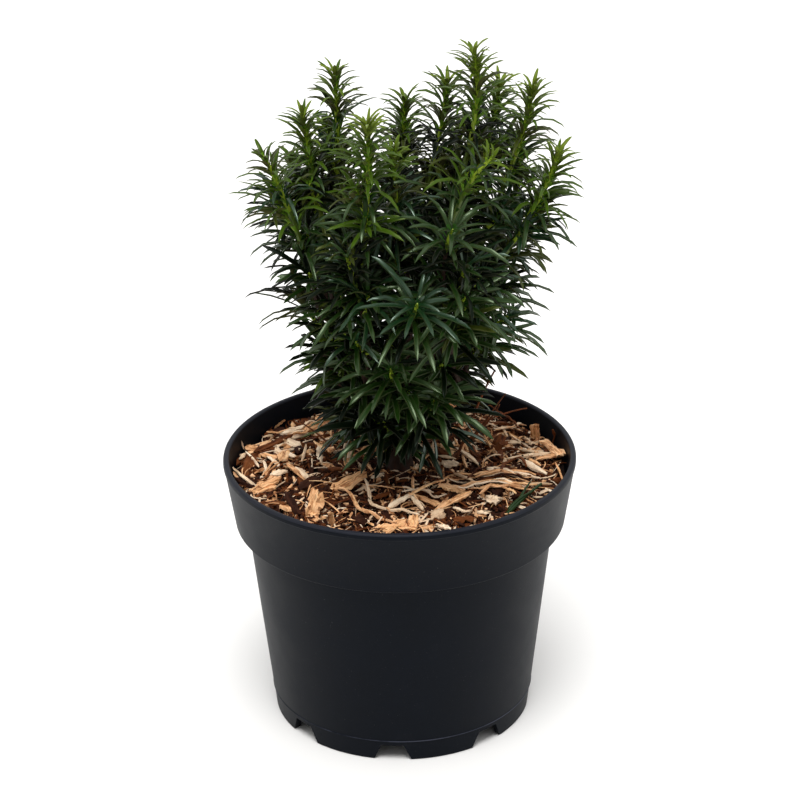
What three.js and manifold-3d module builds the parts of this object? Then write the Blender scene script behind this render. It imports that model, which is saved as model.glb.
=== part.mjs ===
// A young English yew in a round nursery pot, as an assembly of closed solids.
// Millimetres, +Z up. The origin is the centre of the pot's underside, and the front is -Y.

import * as THREE from "three";
import { mergeVertices } from "three/addons/utils/BufferGeometryUtils.js";
import Module from "manifold-3d";

const wasm = await Module();
wasm.setup();

const DEGREE = Math.PI / 180;
const GOLDEN_ANGLE = 137.5 * DEGREE;
const UP = new THREE.Vector3(0, 0, 1);
const GAP = 0.3; // clearance that neighbouring pieces keep
const SHORTEST_EDGE = 0.01; // anything finer that a join leaves is merged away

// Pot
const POT_HEIGHT = 150;
const RIM_RADIUS = 95;
const LIP_WIDTH = 3.2;
const BAND_BOTTOM_Z = 113;
const BAND_BOTTOM_RADIUS = 89.4;
const BODY_TOP_RADIUS = 83;
const BASE_RADIUS = 70.3;
const WALL = 2.6;
const FOOT_HEIGHT = 10; // the foot ring below the moulded seam
const FOOT_WIDTH = 4;
const SEAM_STEP = 0.5;
const NOTCH_COUNT = 8;
const NOTCH_TURN = -94.6 * DEGREE;
const NOTCH_TOP_WIDTH = 12;
const NOTCH_FOOT_WIDTH = 23;
const POT_SEGMENTS = 48;

// Mulch
const MULCH_EDGE_Z = 135;
const MULCH_TOP_Z = 139;
const MULCH_CROWN_RADIUS = 18; // the level patch that the trunk stands on
const MULCH_RELIEF = 1.4;
const MULCH_INSET = 0.8; // from the pot's inner face, whose flats lie a little inside its radius
const MULCH_SEGMENTS = 28;
const MULCH_RINGS = 6;
const CHIP_COUNT = 26;
const WALL_MARGIN = 4; // between a chip and the wall

// Trunk and boughs
const TRUNK_RADIUS = 6.4;
const TRUNK_FORK_RADIUS = 4.6;
const TRUNK_FLARE = 3.4;
const TRUNK_FLARE_REACH = 0.16; // as a share of the trunk's length
const TRUNK_LEAN = new THREE.Vector3(2.5, -1.5, 0);
const TRUNK_FORK_Z = 176;
const BOUGH_FOOT_RADIUS = 2.5;
const BOUGH_TIP_RADIUS = 1.7;
const BOUGH_RISE = 48 * DEGREE; // how steeply a bough leaves the trunk

// Each bough: the way it faces, the height where it leaves the trunk, and where it ends.
const BOUGHS = [
  { name: "front", facing: -84, from: 166, reach: 40, top: 214 },
  { name: "front_left", facing: -122, from: 157, reach: 36, top: 226 },
  { name: "left_front", facing: -157, from: 166, reach: 42, top: 218 },
  { name: "left", facing: 176, from: 157, reach: 34, top: 232 },
  { name: "back_left", facing: 137, from: 166, reach: 42, top: 218 },
  { name: "back", facing: 96, from: 157, reach: 38, top: 222 },
  { name: "back_right", facing: 57, from: 166, reach: 44, top: 216 },
  { name: "right", facing: 6, from: 157, reach: 44, top: 226 },
  { name: "right_front", facing: -32, from: 167, reach: 42, top: 212 },
  { name: "front_right", facing: -63, from: 157, reach: 38, top: 228 },
];
const LEADER = { name: "centre", facing: 25, reach: 20, top: 236 };

// Shoots
const STEM_FOOT_RADIUS = 1.6;
const STEM_TIP_RADIUS = 0.9;
const CORE_RADIUS = 4.6; // the dense heart of a mass, where its space allows
const CORE_TAPER = 0.09; // core radius gained for each millimetre below the stem's end
const CORE_SIDES = 4;
const CORE_STEP = 17;
const BARE_SHARE = 0.08; // of a stem's length, at its foot
const TWIG_SHORTEST = 17;
const TWIG_LONGEST = 26;
const TWIG_RADIUS = 1.0;
const TWIG_TIP_RADIUS = 0.7;
const TUFT_RISE = 11; // how far the last needles reach past the end of their stem
const TUFT_NEEDLES = 5;
const TUFT_HUB = 1.5;
const FIRST_NEEDLE = 7; // below the stem's end
const NEEDLE_STEP = 4.4; // from one needle to the next near the stem's end
const STEP_GROWTH = 0.05; // the step widens by this share of the distance from the end
const ROOT_DEPTH = 2.2; // how far a needle's root is sunk in a thick core
const NEEDLE_WIDTH = 4.8;
const NEEDLE_THICKNESS = 0.9;
const NEEDLE_BOW = 0.12; // height of the arch as a share of the length
const LEAFY_SHARE = 0.86; // of a stem's length, from its end
const SPACE_MARGIN = 0.5; // half of what neighbouring masses keep between them
const LIMB_CLEARANCE = 1.4;
const CROWN_REACH = 96;
const LOWEST_NEEDLE_Z = 144.5;
const RIM_CLEAR_Z = 160; // below this a needle stays inside the rim
const RIM_CLEAR_RADIUS = 86;

// Each mass of foliage is one shoot: the limb that carries it, the place on that limb as a
// share of its length (1 is the tip), where its topmost needles end, how far its end leans
// outwards in degrees, and how many side twigs it may bear.
const SHOOTS = [
  { name: "left_back_spire", bough: "back_left", at: 1, tip: [-31, 20, 367], lean: 2, twigs: 1 },
  { name: "left_spire", bough: "left", at: 1, tip: [-48, 2, 352], lean: 6, twigs: 0 },
  { name: "left_outer_spire", bough: "left_front", at: 1, tip: [-66, -22, 339], lean: 14, twigs: 1 },
  { name: "left_rear_tuft", bough: "left", at: 0.8, tip: [-60, 26, 320], lean: 14, twigs: 0 },
  { name: "front_left_spire", bough: "front_left", at: 1, tip: [-14, -45, 361], lean: 5, twigs: 1 },
  { name: "centre_tuft", bough: "centre", at: 0.7, tip: [-1, -28, 340], lean: 4, twigs: 0 },
  { name: "back_spire", bough: "back", at: 1, tip: [5, 38, 344], lean: 2, twigs: 1 },
  { name: "centre_spire", bough: "centre", at: 0.88, tip: [27, 22, 361], lean: 2, twigs: 0 },
  { name: "top_spire", bough: "centre", at: 1, tip: [40, -2, 380], lean: -10, twigs: 1 },
  { name: "back_right_spire", bough: "back_right", at: 1, tip: [55, 33, 350], lean: 6, twigs: 0 },
  { name: "right_spire", bough: "right", at: 0.8, tip: [69, 8, 359], lean: 13, twigs: 0 },
  { name: "right_outer_spire", bough: "right", at: 1, tip: [86, -6, 330], lean: 14, twigs: 1 },
  { name: "front_right_star", bough: "front_right", at: 1, tip: [47, -46, 337], lean: 48, twigs: 0 },
  { name: "front_star", bough: "front_right", at: 0.8, tip: [31, -68, 315], lean: 42, twigs: 1 },
  { name: "front_left_star", bough: "front_left", at: 0.8, tip: [-29, -62, 302], lean: 30, twigs: 0 },
  { name: "left_face_tuft", bough: "front_left", at: 0.9, tip: [-42, -46, 276], lean: 34, twigs: 0 },
  { name: "front_face_star", bough: "front", at: 1, tip: [9, -84, 275], lean: 48, twigs: 1 },
  { name: "front_right_low_star", bough: "right_front", at: 0.8, tip: [38, -70, 272], lean: 42, twigs: 0 },
  { name: "right_front_tuft", bough: "right_front", at: 1, tip: [66, -40, 288], lean: 36, twigs: 0 },
  { name: "back_left_spire", bough: "back_left", at: 0.8, tip: [-38, 56, 326], lean: 10, twigs: 1 },
  { name: "back_outer_spire", bough: "back", at: 0.8, tip: [4, 74, 312], lean: 14, twigs: 0 },
  { name: "back_right_tuft", bough: "back_right", at: 0.85, tip: [36, 64, 321], lean: 10, twigs: 0 },
  { name: "right_rear_tuft", bough: "back_right", at: 0.7, tip: [72, 50, 302], lean: 18, twigs: 1 },
  { name: "left_low_tuft", bough: "left_front", at: 0.7, tip: [-52, -28, 244], lean: 40, twigs: 0 },
  { name: "front_low_star", bough: "trunk", at: 0.43, tip: [-6, -72, 231], lean: 44, twigs: 0 },
  { name: "front_right_foot", bough: "trunk", at: 0.34, tip: [22, -65, 213], lean: 44, twigs: 1 },
  { name: "front_left_foot", bough: "trunk", at: 0.28, tip: [-12, -60, 193], lean: 48, twigs: 0 },
  { name: "front_foot", bough: "trunk", at: 0.22, tip: [12, -48, 180], lean: 52, twigs: 0 },
  { name: "left_front_foot", bough: "trunk", at: 0.33, tip: [-34, -52, 214], lean: 40, twigs: 1 },
  { name: "left_side_foot", bough: "trunk", at: 0.24, tip: [-47, -20, 194], lean: 44, twigs: 0 },
  { name: "right_front_foot", bough: "trunk", at: 0.26, tip: [42, -36, 210], lean: 40, twigs: 0 },
  { name: "right_low_tuft", bough: "right_front", at: 0.62, tip: [67, -18, 240], lean: 46, twigs: 1 },
  { name: "left_foot", bough: "trunk", at: 0.42, tip: [-64, 16, 222], lean: 44, twigs: 0 },
  { name: "right_foot", bough: "trunk", at: 0.42, tip: [64, 26, 220], lean: 44, twigs: 1 },
  { name: "back_low_tuft", bough: "trunk", at: 0.42, tip: [2, 76, 240], lean: 40, twigs: 1 },
  { name: "back_left_foot", bough: "trunk", at: 0.28, tip: [-42, 52, 216], lean: 42, twigs: 0 },
  { name: "back_right_foot", bough: "trunk", at: 0.28, tip: [34, 54, 206], lean: 44, twigs: 0 },
  { name: "back_foot", bough: "trunk", at: 0.22, tip: [-12, 54, 186], lean: 48, twigs: 0 },
];

// A seeded source of numbers from 0 to 1.
function seeded(seed) {
  let state = seed * 2654435761;
  return () => {
    state = (state + 0x6d2b79f5) | 0;
    let mixed = Math.imul(state ^ (state >>> 15), 1 | state);
    mixed = (mixed + Math.imul(mixed ^ (mixed >>> 7), 61 | mixed)) ^ mixed;
    return ((mixed ^ (mixed >>> 14)) >>> 0) / 4294967296;
  };
}

function mix(from, to, share) {
  return from + (to - from) * share;
}

function point(x, y, z) {
  return new THREE.Vector3(x, y, z);
}

// A horizontal unit vector that faces the given number of degrees round from +X.
function facing(degrees) {
  return point(Math.cos(degrees * DEGREE), Math.sin(degrees * DEGREE), 0);
}

// Solids and geometries

function solid(geometry) {
  const bare = geometry.clone();
  bare.deleteAttribute("normal");
  bare.deleteAttribute("uv");
  const merged = mergeVertices(bare, 1e-3);
  const vertProperties = new Float32Array(merged.attributes.position.array);
  const triVerts = new Uint32Array(merged.index.array);
  return new wasm.Manifold(new wasm.Mesh({ numProp: 3, vertProperties, triVerts }));
}

// The largest connected body of a solid, with any scrap dropped and any sealed hollow filled.
function largestBody(made) {
  return made.decompose().reduce((best, body) => (body.volume() > best.volume() ? body : best));
}

function geometryOf(made) {
  const mesh = made.simplify(SHORTEST_EDGE).getMesh();
  const geometry = new THREE.BufferGeometry();
  geometry.setAttribute("position", new THREE.BufferAttribute(mesh.vertProperties, 3));
  geometry.setIndex(new THREE.BufferAttribute(mesh.triVerts, 1));
  geometry.computeVertexNormals();
  return geometry;
}

// A solid of revolution about Z from [radius, height] pairs that start and end on the axis.
function turned(profile, segments) {
  const points = profile.map(([radius, height]) => new THREE.Vector2(radius, height));
  return new THREE.LatheGeometry(points, segments).rotateX(Math.PI / 2);
}

// A tube along a path whose radius follows radiusAt(share of the length).
function limb(path, steps, sides, radiusAt) {
  const corners = Array.from({ length: sides }, (_, i) => {
    const turn = (2 * Math.PI * i) / sides;
    return new THREE.Vector2(Math.cos(turn), Math.sin(turn));
  });
  const options = { steps, bevelEnabled: false, extrudePath: path };
  const geometry = new THREE.ExtrudeGeometry(new THREE.Shape(corners), options);
  const centres = path.getSpacedPoints(steps);
  const position = geometry.attributes.position;
  const vertex = new THREE.Vector3();
  for (let i = 0; i < position.count; i++) {
    vertex.fromBufferAttribute(position, i);
    const gaps = centres.map((centre) => centre.distanceTo(vertex));
    const ring = gaps.indexOf(Math.min(...gaps));
    vertex.sub(centres[ring]).multiplyScalar(radiusAt(ring / steps)).add(centres[ring]);
    position.setXYZ(i, vertex.x, vertex.y, vertex.z);
  }
  return geometry;
}

// Pot and mulch

function potWallRadius(z) {
  return mix(BASE_RADIUS, BODY_TOP_RADIUS, z / BAND_BOTTOM_Z);
}

function bandRadius(z) {
  return mix(BAND_BOTTOM_RADIUS, RIM_RADIUS, (z - BAND_BOTTOM_Z) / (POT_HEIGHT - BAND_BOTTOM_Z));
}

// The inner face of the band, from its foot up to the lip.
function innerBandRadius(z) {
  const foot = BAND_BOTTOM_Z + WALL;
  const share = (z - foot) / (POT_HEIGHT - foot);
  return mix(bandRadius(foot) - WALL, RIM_RADIUS - LIP_WIDTH, share);
}

function notchCutter(index) {
  const outline = new THREE.Shape([
    new THREE.Vector2(-NOTCH_FOOT_WIDTH / 2, -1),
    new THREE.Vector2(NOTCH_FOOT_WIDTH / 2, -1),
    new THREE.Vector2(NOTCH_TOP_WIDTH / 2, FOOT_HEIGHT - SEAM_STEP),
    new THREE.Vector2(-NOTCH_TOP_WIDTH / 2, FOOT_HEIGHT - SEAM_STEP),
  ]);
  const depth = 4 * FOOT_WIDTH;
  const cutter = new THREE.ExtrudeGeometry(outline, { depth, bevelEnabled: false });
  cutter.rotateX(Math.PI / 2);
  cutter.translate(0, -(BASE_RADIUS - 2 * FOOT_WIDTH), 0);
  cutter.rotateZ(NOTCH_TURN + Math.PI / 2 + (2 * Math.PI * index) / NOTCH_COUNT);
  return solid(cutter);
}

function makePot() {
  const floorZ = FOOT_HEIGHT;
  const lipZ = POT_HEIGHT - LIP_WIDTH / 2;
  const profile = [
    [0, floorZ],
    [BASE_RADIUS - FOOT_WIDTH, floorZ],
    [BASE_RADIUS - FOOT_WIDTH, 0],
    [BASE_RADIUS, 0],
    [potWallRadius(FOOT_HEIGHT) - SEAM_STEP, FOOT_HEIGHT],
    [potWallRadius(FOOT_HEIGHT), FOOT_HEIGHT + SEAM_STEP],
    [BODY_TOP_RADIUS, BAND_BOTTOM_Z],
    [BAND_BOTTOM_RADIUS, BAND_BOTTOM_Z],
    [bandRadius(lipZ), lipZ],
    [RIM_RADIUS, lipZ],
    [RIM_RADIUS, POT_HEIGHT - 0.9],
    [RIM_RADIUS - 0.9, POT_HEIGHT],
    [RIM_RADIUS - LIP_WIDTH, POT_HEIGHT],
    [innerBandRadius(BAND_BOTTOM_Z + WALL), BAND_BOTTOM_Z + WALL],
    [BODY_TOP_RADIUS - WALL, BAND_BOTTOM_Z - WALL],
    [potWallRadius(floorZ + WALL) - WALL, floorZ + WALL],
    [0, floorZ + WALL],
  ];
  let pot = solid(turned(profile, POT_SEGMENTS));
  for (let i = 0; i < NOTCH_COUNT; i++) pot = pot.subtract(notchCutter(i));
  return geometryOf(largestBody(pot));
}

// The level of the mulch before its relief, a low mound that falls towards the wall.
function mulchLevel(radius) {
  const outer = innerBandRadius(MULCH_EDGE_Z);
  const share = Math.max(0, (radius - MULCH_CROWN_RADIUS) / (outer - MULCH_CROWN_RADIUS));
  return mix(MULCH_TOP_Z, MULCH_EDGE_Z, share * share);
}

function mulchRelief(x, y) {
  const coarse = Math.sin(x * 0.19 + 1.3) * Math.cos(y * 0.17 - 0.4);
  const fine = Math.sin(x * 0.47 - y * 0.31) * Math.cos(y * 0.53 + x * 0.22);
  return MULCH_RELIEF * (0.6 * coarse + 0.4 * fine);
}

function mulchBed() {
  const floorZ = FOOT_HEIGHT + WALL + GAP;
  const bandFoot = BAND_BOTTOM_Z + WALL;
  const wallRadius = innerBandRadius(MULCH_EDGE_Z) - MULCH_INSET;
  const profile = [
    [0, floorZ],
    [potWallRadius(floorZ) - WALL - MULCH_INSET, floorZ],
    [BODY_TOP_RADIUS - WALL - MULCH_INSET, BAND_BOTTOM_Z - WALL],
    [innerBandRadius(bandFoot) - MULCH_INSET, bandFoot + MULCH_INSET],
  ];
  for (let ring = 0; ring < MULCH_RINGS; ring++) {
    const radius = mix(wallRadius, MULCH_CROWN_RADIUS, ring / (MULCH_RINGS - 1));
    profile.push([radius, mulchLevel(radius)]);
  }
  profile.push([0, MULCH_TOP_Z]);
  const geometry = turned(profile, MULCH_SEGMENTS);
  const position = geometry.attributes.position;
  for (let i = 0; i < position.count; i++) {
    const x = position.getX(i);
    const y = position.getY(i);
    const onSurface = position.getZ(i) > MULCH_EDGE_Z - 1;
    const loose = onSurface && Math.hypot(x, y) > MULCH_CROWN_RADIUS + 1;
    if (loose) position.setZ(i, position.getZ(i) + mulchRelief(x, y));
  }
  return geometry;
}

function makeMulch() {
  const random = seeded(7);
  let mulch = solid(mulchBed());
  const outer = innerBandRadius(MULCH_EDGE_Z);
  for (let i = 0; i < CHIP_COUNT; i++) {
    const length = mix(13, 30, random());
    const width = mix(3, 7, random());
    const thickness = mix(1.6, 2.8, random());
    const inner = MULCH_CROWN_RADIUS + length / 2;
    const radius = mix(inner, outer - length / 2 - WALL_MARGIN, Math.sqrt(random()));
    const turn = i * GOLDEN_ANGLE;
    const chip = new THREE.BoxGeometry(length, width, thickness);
    chip.rotateX(mix(-20, 20, random()) * DEGREE);
    chip.rotateY(mix(-22, 22, random()) * DEGREE);
    chip.rotateZ(random() * Math.PI);
    const x = radius * Math.cos(turn);
    const y = radius * Math.sin(turn);
    chip.translate(x, y, mulchLevel(radius) + mulchRelief(x, y) + thickness * 0.2);
    mulch = mulch.add(solid(chip));
  }
  return geometryOf(largestBody(mulch));
}

// Trunk and boughs

// The path starts below the mulch, and the trunk is cut off level with it.
const TRUNK_FOOT_Z = MULCH_TOP_Z + GAP;
const TRUNK_START_Z = TRUNK_FOOT_Z - 4;
const trunkPath = new THREE.CatmullRomCurve3([
  point(0, 0, TRUNK_START_Z),
  TRUNK_LEAN.clone().multiplyScalar(0.3).setZ(mix(TRUNK_START_Z, TRUNK_FORK_Z, 0.4)),
  TRUNK_LEAN.clone().setZ(TRUNK_FORK_Z),
]);

function trunkRadius(share) {
  const flare = TRUNK_FLARE * Math.exp(-share / TRUNK_FLARE_REACH);
  return mix(TRUNK_RADIUS, TRUNK_FORK_RADIUS, share) + flare;
}

function boughRadius(share) {
  return mix(BOUGH_FOOT_RADIUS, BOUGH_TIP_RADIUS, share);
}

const trunk = { name: "trunk", path: trunkPath, radiusAt: trunkRadius, steps: 8, sides: 9 };

// A bough leaves the trunk's axis outwards and turns upwards to its tip.
function boughLimb(bough) {
  const share = (bough.from - TRUNK_START_Z) / (TRUNK_FORK_Z - TRUNK_START_Z);
  const start = trunkPath.getPointAt(share);
  const outwards = facing(bough.facing);
  const end = outwards.clone().multiplyScalar(bough.reach).setZ(bough.top);
  const length = start.distanceTo(end);
  const leaving = outwards.clone().multiplyScalar(Math.cos(BOUGH_RISE));
  leaving.setZ(Math.sin(BOUGH_RISE));
  const path = new THREE.CubicBezierCurve3(
    start,
    start.clone().addScaledVector(leaving, length * 0.4),
    end.clone().addScaledVector(UP, -length * 0.3),
    end,
  );
  return { name: bough.name, path, radiusAt: boughRadius, steps: 6, sides: 6, cutBy: trunk };
}

// The leader goes straight on from the trunk's fork.
function leaderLimb(bough) {
  const along = trunkPath.getTangentAt(1);
  const start = trunkPath.getPointAt(1).addScaledVector(along, GAP);
  const end = facing(bough.facing).multiplyScalar(bough.reach).setZ(bough.top);
  const length = start.distanceTo(end);
  const path = new THREE.CubicBezierCurve3(
    start,
    start.clone().addScaledVector(along, length * 0.3),
    end.clone().addScaledVector(UP, -length * 0.35),
    end,
  );
  return { name: bough.name, path, radiusAt: boughRadius, steps: 6, sides: 6 };
}

const boughs = [...BOUGHS.map(boughLimb), leaderLimb(LEADER)];
const limbs = [trunk, ...boughs];

// A limb's solid, grown by the given thickness all round.
function limbSolid(part, grown = 0) {
  return solid(limb(part.path, part.steps, part.sides, (share) => part.radiusAt(share) + grown));
}

function makeTrunk() {
  const depth = 20;
  const below = new THREE.BoxGeometry(4 * depth, 4 * depth, depth);
  below.translate(0, 0, TRUNK_FOOT_Z - depth / 2);
  return geometryOf(limbSolid(trunk).subtract(solid(below)));
}

function makeLimb(part) {
  let made = limbSolid(part);
  if (part.cutBy) made = largestBody(made.subtract(limbSolid(part.cutBy, GAP)));
  return geometryOf(made);
}

// Shoots

// The stem runs from its bough to just below its topmost needles, turning upwards as it goes.
function shootStem(shoot) {
  const carrier = limbs.find((part) => part.name === shoot.bough);
  const along = carrier.path.getTangentAt(shoot.at);
  const start = carrier.path.getPointAt(shoot.at);
  const tip = point(...shoot.tip);
  const outwards = point(tip.x, tip.y, 0).normalize();
  const lean = shoot.lean * DEGREE;
  const arriving = outwards.clone().multiplyScalar(Math.sin(lean)).setZ(Math.cos(lean));
  const end = tip.clone().addScaledVector(arriving, -TUFT_RISE);
  const leaving = along.clone();
  if (shoot.at < 1) {
    const aside = end.clone().sub(start);
    aside.addScaledVector(along, -aside.dot(along)).normalize();
    leaving.multiplyScalar(0.6).addScaledVector(aside, 0.8);
  } else {
    start.addScaledVector(along, GAP);
  }
  const length = start.distanceTo(end);
  const path = new THREE.CubicBezierCurve3(
    start,
    start.clone().addScaledVector(leaving, length * 0.28),
    end.clone().addScaledVector(arriving, -length * 0.34),
    end,
  );
  return { shoot, carrier, path, length: path.getLength() };
}

const stems = SHOOTS.map(shootStem);

const stemSegments = stems.map((stem) => {
  const points = stem.path.getSpacedPoints(20);
  return points.slice(1).map((end, i) => new THREE.Line3(points[i], end));
});

const nearest = new THREE.Vector3();

function distanceTo(segments, place) {
  const distances = segments.map((segment) => {
    segment.closestPointToPoint(place, true, nearest);
    return nearest.distanceTo(place);
  });
  return Math.min(...distances);
}

const limbSamples = limbs.map((part) => {
  const points = part.path.getSpacedPoints(24);
  return points.map((centre, i) => ({ centre, radius: part.radiusAt(i / 24) }));
});

// A place is free for a mass when it is nearer to its own stem than to any other, clear of
// every limb, inside the crown's reach, above the mulch and inside the rim.
function isFree(place, index) {
  const radius = Math.hypot(place.x, place.y);
  if (Math.abs(place.x) > CROWN_REACH || Math.abs(place.y) > CROWN_REACH) return false;
  if (place.z < LOWEST_NEEDLE_Z) return false;
  if (place.z < RIM_CLEAR_Z && radius > RIM_CLEAR_RADIUS) return false;
  for (const samples of limbSamples) {
    for (const { centre, radius: thick } of samples) {
      if (centre.distanceTo(place) < thick + LIMB_CLEARANCE) return false;
    }
  }
  const own = distanceTo(stemSegments[index], place) + 2 * SPACE_MARGIN;
  return stemSegments.every((segments, i) => i === index || distanceTo(segments, place) > own);
}

// The largest radius that a mass's core can have round a place on its stem.
function roomAt(place, index) {
  let room = CORE_RADIUS;
  stemSegments.forEach((segments, i) => {
    if (i !== index) room = Math.min(room, distanceTo(segments, place) / 2 - SPACE_MARGIN);
  });
  for (const samples of limbSamples) {
    for (const { centre, radius } of samples) {
      room = Math.min(room, centre.distanceTo(place) - radius - LIMB_CLEARANCE);
    }
  }
  return Math.min(room, place.z - LOWEST_NEEDLE_Z);
}

// The radii of a mass's core, ring by ring from its foot to its end.
function coreRadii(stem, index, steps) {
  return stem.path.getSpacedPoints(steps).map((place, ring) => {
    const share = ring / steps;
    const tapered = STEM_TIP_RADIUS + (1 - share) * stem.length * CORE_TAPER;
    const wood = mix(STEM_FOOT_RADIUS, STEM_TIP_RADIUS, share);
    if (share < BARE_SHARE) return wood;
    return Math.max(wood, Math.min(tapered, roomAt(place, index)));
  });
}

// A direction square to the stem, turned round it by the given angle.
function sideways(along, turn) {
  const reference = Math.abs(along.z) > 0.9 ? point(1, 0, 0) : UP;
  const across = reference.clone().cross(along).normalize();
  return across.applyAxisAngle(along, turn);
}

// A needle's length and lean away from its stem, by its distance from the stem's end.
function needleLength(fromEnd) {
  return mix(14, 31, Math.min(1, fromEnd / 95) ** 0.7);
}

function needleSplay(fromEnd) {
  return mix(26, 66, Math.min(1, fromEnd / 60) ** 0.6) * DEGREE;
}

// A flat blade pointed at both ends and arched along its length, from its root on the stem.
function blade(root, along, outwards, splay, length) {
  const heading = along.clone().multiplyScalar(Math.cos(splay));
  heading.addScaledVector(outwards, Math.sin(splay));
  const upper = along.clone().addScaledVector(heading, -along.dot(heading)).normalize();
  const across = upper.clone().cross(heading);
  const middle = root.clone().addScaledVector(heading, length * 0.48);
  middle.addScaledVector(upper, length * NEEDLE_BOW);
  const end = root.clone().addScaledVector(heading, length);
  const edge = middle.clone().addScaledVector(across, NEEDLE_WIDTH / 2);
  const otherEdge = middle.clone().addScaledVector(across, -NEEDLE_WIDTH / 2);
  const probes = [edge, otherEdge, middle.clone().lerp(end, 0.6), end];
  return { root, upper, across, middle, end, probes };
}

// A blade's solid: flat below, with a raised midrib.
function bladeSolid({ root, upper, across, middle, end }) {
  const corners = [
    middle.clone().addScaledVector(across, -NEEDLE_WIDTH / 2),
    middle.clone().addScaledVector(across, NEEDLE_WIDTH / 2),
    middle.clone().addScaledVector(upper, NEEDLE_THICKNESS),
  ];
  const faces = [];
  corners.forEach((corner, i) => {
    const next = corners[(i + 1) % corners.length];
    faces.push(corner, next, end, next, corner, root);
  });
  return solid(new THREE.BufferGeometry().setFromPoints(faces));
}

// Needles stand spirally round a stem. One that would leave the mass's space is first held
// closer to the stem and shortened, then skipped.
function needlesOn(path, length, index, random, radiusAt) {
  const kept = [];
  const firstTurn = random() * 2 * Math.PI;
  let order = 0;
  let fromEnd = FIRST_NEEDLE;
  while (fromEnd < length * LEAFY_SHARE) {
    const share = 1 - fromEnd / length;
    const along = path.getTangentAt(share);
    const outwards = sideways(along, firstTurn + order * GOLDEN_ANGLE);
    const depth = Math.max(0, radiusAt(share) - ROOT_DEPTH);
    const root = path.getPointAt(share).addScaledVector(outwards, depth);
    const size = needleLength(fromEnd) * mix(0.9, 1.1, random()) - depth;
    for (const held of [1, 0.8, 0.65]) {
      const made = blade(root, along, outwards, needleSplay(fromEnd) * held, size * held);
      if (made.probes.every((place) => isFree(place, index))) {
        kept.push(bladeSolid(made));
        break;
      }
    }
    order += 1;
    fromEnd += NEEDLE_STEP + fromEnd * STEP_GROWTH;
  }
  return kept;
}

// The last needles of a stem: one star of upright teeth round its end.
function tuft(path, index, random) {
  const end = path.getPointAt(1);
  const along = path.getTangentAt(1);
  const firstTurn = random() * 2 * Math.PI;
  const step = (2 * Math.PI) / TUFT_NEEDLES;
  const outline = [];
  for (let i = 0; i < TUFT_NEEDLES; i++) {
    const turn = firstTurn + i * step;
    const splay = mix(20, 34, random()) * DEGREE;
    const size = TUFT_RISE * mix(0.95, 1.15, random());
    const tip = end.clone().addScaledVector(along, size * Math.cos(splay));
    tip.addScaledVector(sideways(along, turn), size * Math.sin(splay));
    const notch = end.clone().addScaledVector(along, TUFT_HUB * 0.6);
    notch.addScaledVector(sideways(along, turn + step / 2), TUFT_HUB);
    if (isFree(tip, index)) outline.push(tip);
    outline.push(notch);
  }
  const below = end.clone().addScaledVector(along, -2 * TUFT_HUB);
  const above = end.clone().addScaledVector(along, TUFT_HUB);
  const faces = [];
  outline.forEach((corner, i) => {
    const next = outline[(i + 1) % outline.length];
    faces.push(above, corner, next, below, next, corner);
  });
  return solid(new THREE.BufferGeometry().setFromPoints(faces));
}

// Side twigs leave the stem outwards from the crown, and turn up towards their tips.
function twigPath(stem, random, order) {
  const share = mix(0.4, 0.66, random());
  const start = stem.path.getPointAt(share);
  const along = stem.path.getTangentAt(share);
  const away = point(start.x, start.y, 0).normalize();
  away.applyAxisAngle(UP, (order % 2 ? 1 : -1) * mix(25, 70, random()) * DEGREE);
  const length = mix(TWIG_SHORTEST, TWIG_LONGEST, random());
  const middle = start.clone().addScaledVector(away, length * 0.4).addScaledVector(along, length * 0.35);
  const end = middle.clone().addScaledVector(away, length * 0.2).addScaledVector(along, length * 0.45);
  return new THREE.QuadraticBezierCurve3(start, middle, end);
}

function makeShoot(stem, index) {
  const random = seeded(index + 11);
  const steps = Math.max(4, Math.round(stem.length / CORE_STEP));
  const radii = coreRadii(stem, index, steps);
  const coreAt = (share) => radii[Math.round(share * steps)];
  let mass = solid(limb(stem.path, steps, CORE_SIDES, coreAt));
  if (stem.shoot.at < 1) mass = mass.subtract(limbSolid(stem.carrier, GAP));
  const needles = needlesOn(stem.path, stem.length, index, random, coreAt);
  needles.push(tuft(stem.path, index, random));
  for (let order = 0; order < stem.shoot.twigs; order++) {
    const path = twigPath(stem, random, order);
    const inSpace = path.getPoints(5).slice(1).every((place) => isFree(place, index));
    if (!inSpace) continue;
    const twigAt = (share) => mix(TWIG_RADIUS, TWIG_TIP_RADIUS, share);
    mass = mass.add(solid(limb(path, 3, 3, twigAt)));
    needles.push(...needlesOn(path, path.getLength(), index, random, twigAt));
    needles.push(tuft(path, index, random));
  }
  for (const needle of needles) mass = mass.add(needle);
  return geometryOf(largestBody(mass));
}

// Materials and assembly

const FINISHES = {
  pot: { color: 0x24272c, roughness: 0.55, metalness: 0 },
  mulch: { color: 0x8a5a38, roughness: 0.9, metalness: 0 },
  bark: { color: 0x5a4030, roughness: 0.85, metalness: 0 },
  foliage: { color: 0x1f4a24, roughness: 0.45, metalness: 0 },
};

const plant = new THREE.Group();

function place(name, geometry, finish) {
  const mesh = new THREE.Mesh(geometry, new THREE.MeshStandardMaterial(FINISHES[finish]));
  mesh.name = name;
  plant.add(mesh);
}

place("pot", makePot(), "pot");
place("mulch", makeMulch(), "mulch");
place("trunk", makeTrunk(), "bark");
for (const bough of boughs) place("bough_" + bough.name, makeLimb(bough), "bark");
stems.forEach((stem, index) => place("foliage_" + stem.shoot.name, makeShoot(stem, index), "foliage"));

export default plant;
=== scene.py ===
"""A young English yew in a round nursery pot, dressed round its packed model.

The file is laid out as an add-on: settings that a user may change, one operator for each piece
or group of like pieces, and a panel that lists them. Lengths are in metres and +Z is up. The
origin is the centre of the pot's underside, and the front is -Y.
"""

import math
from collections import namedtuple

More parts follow.
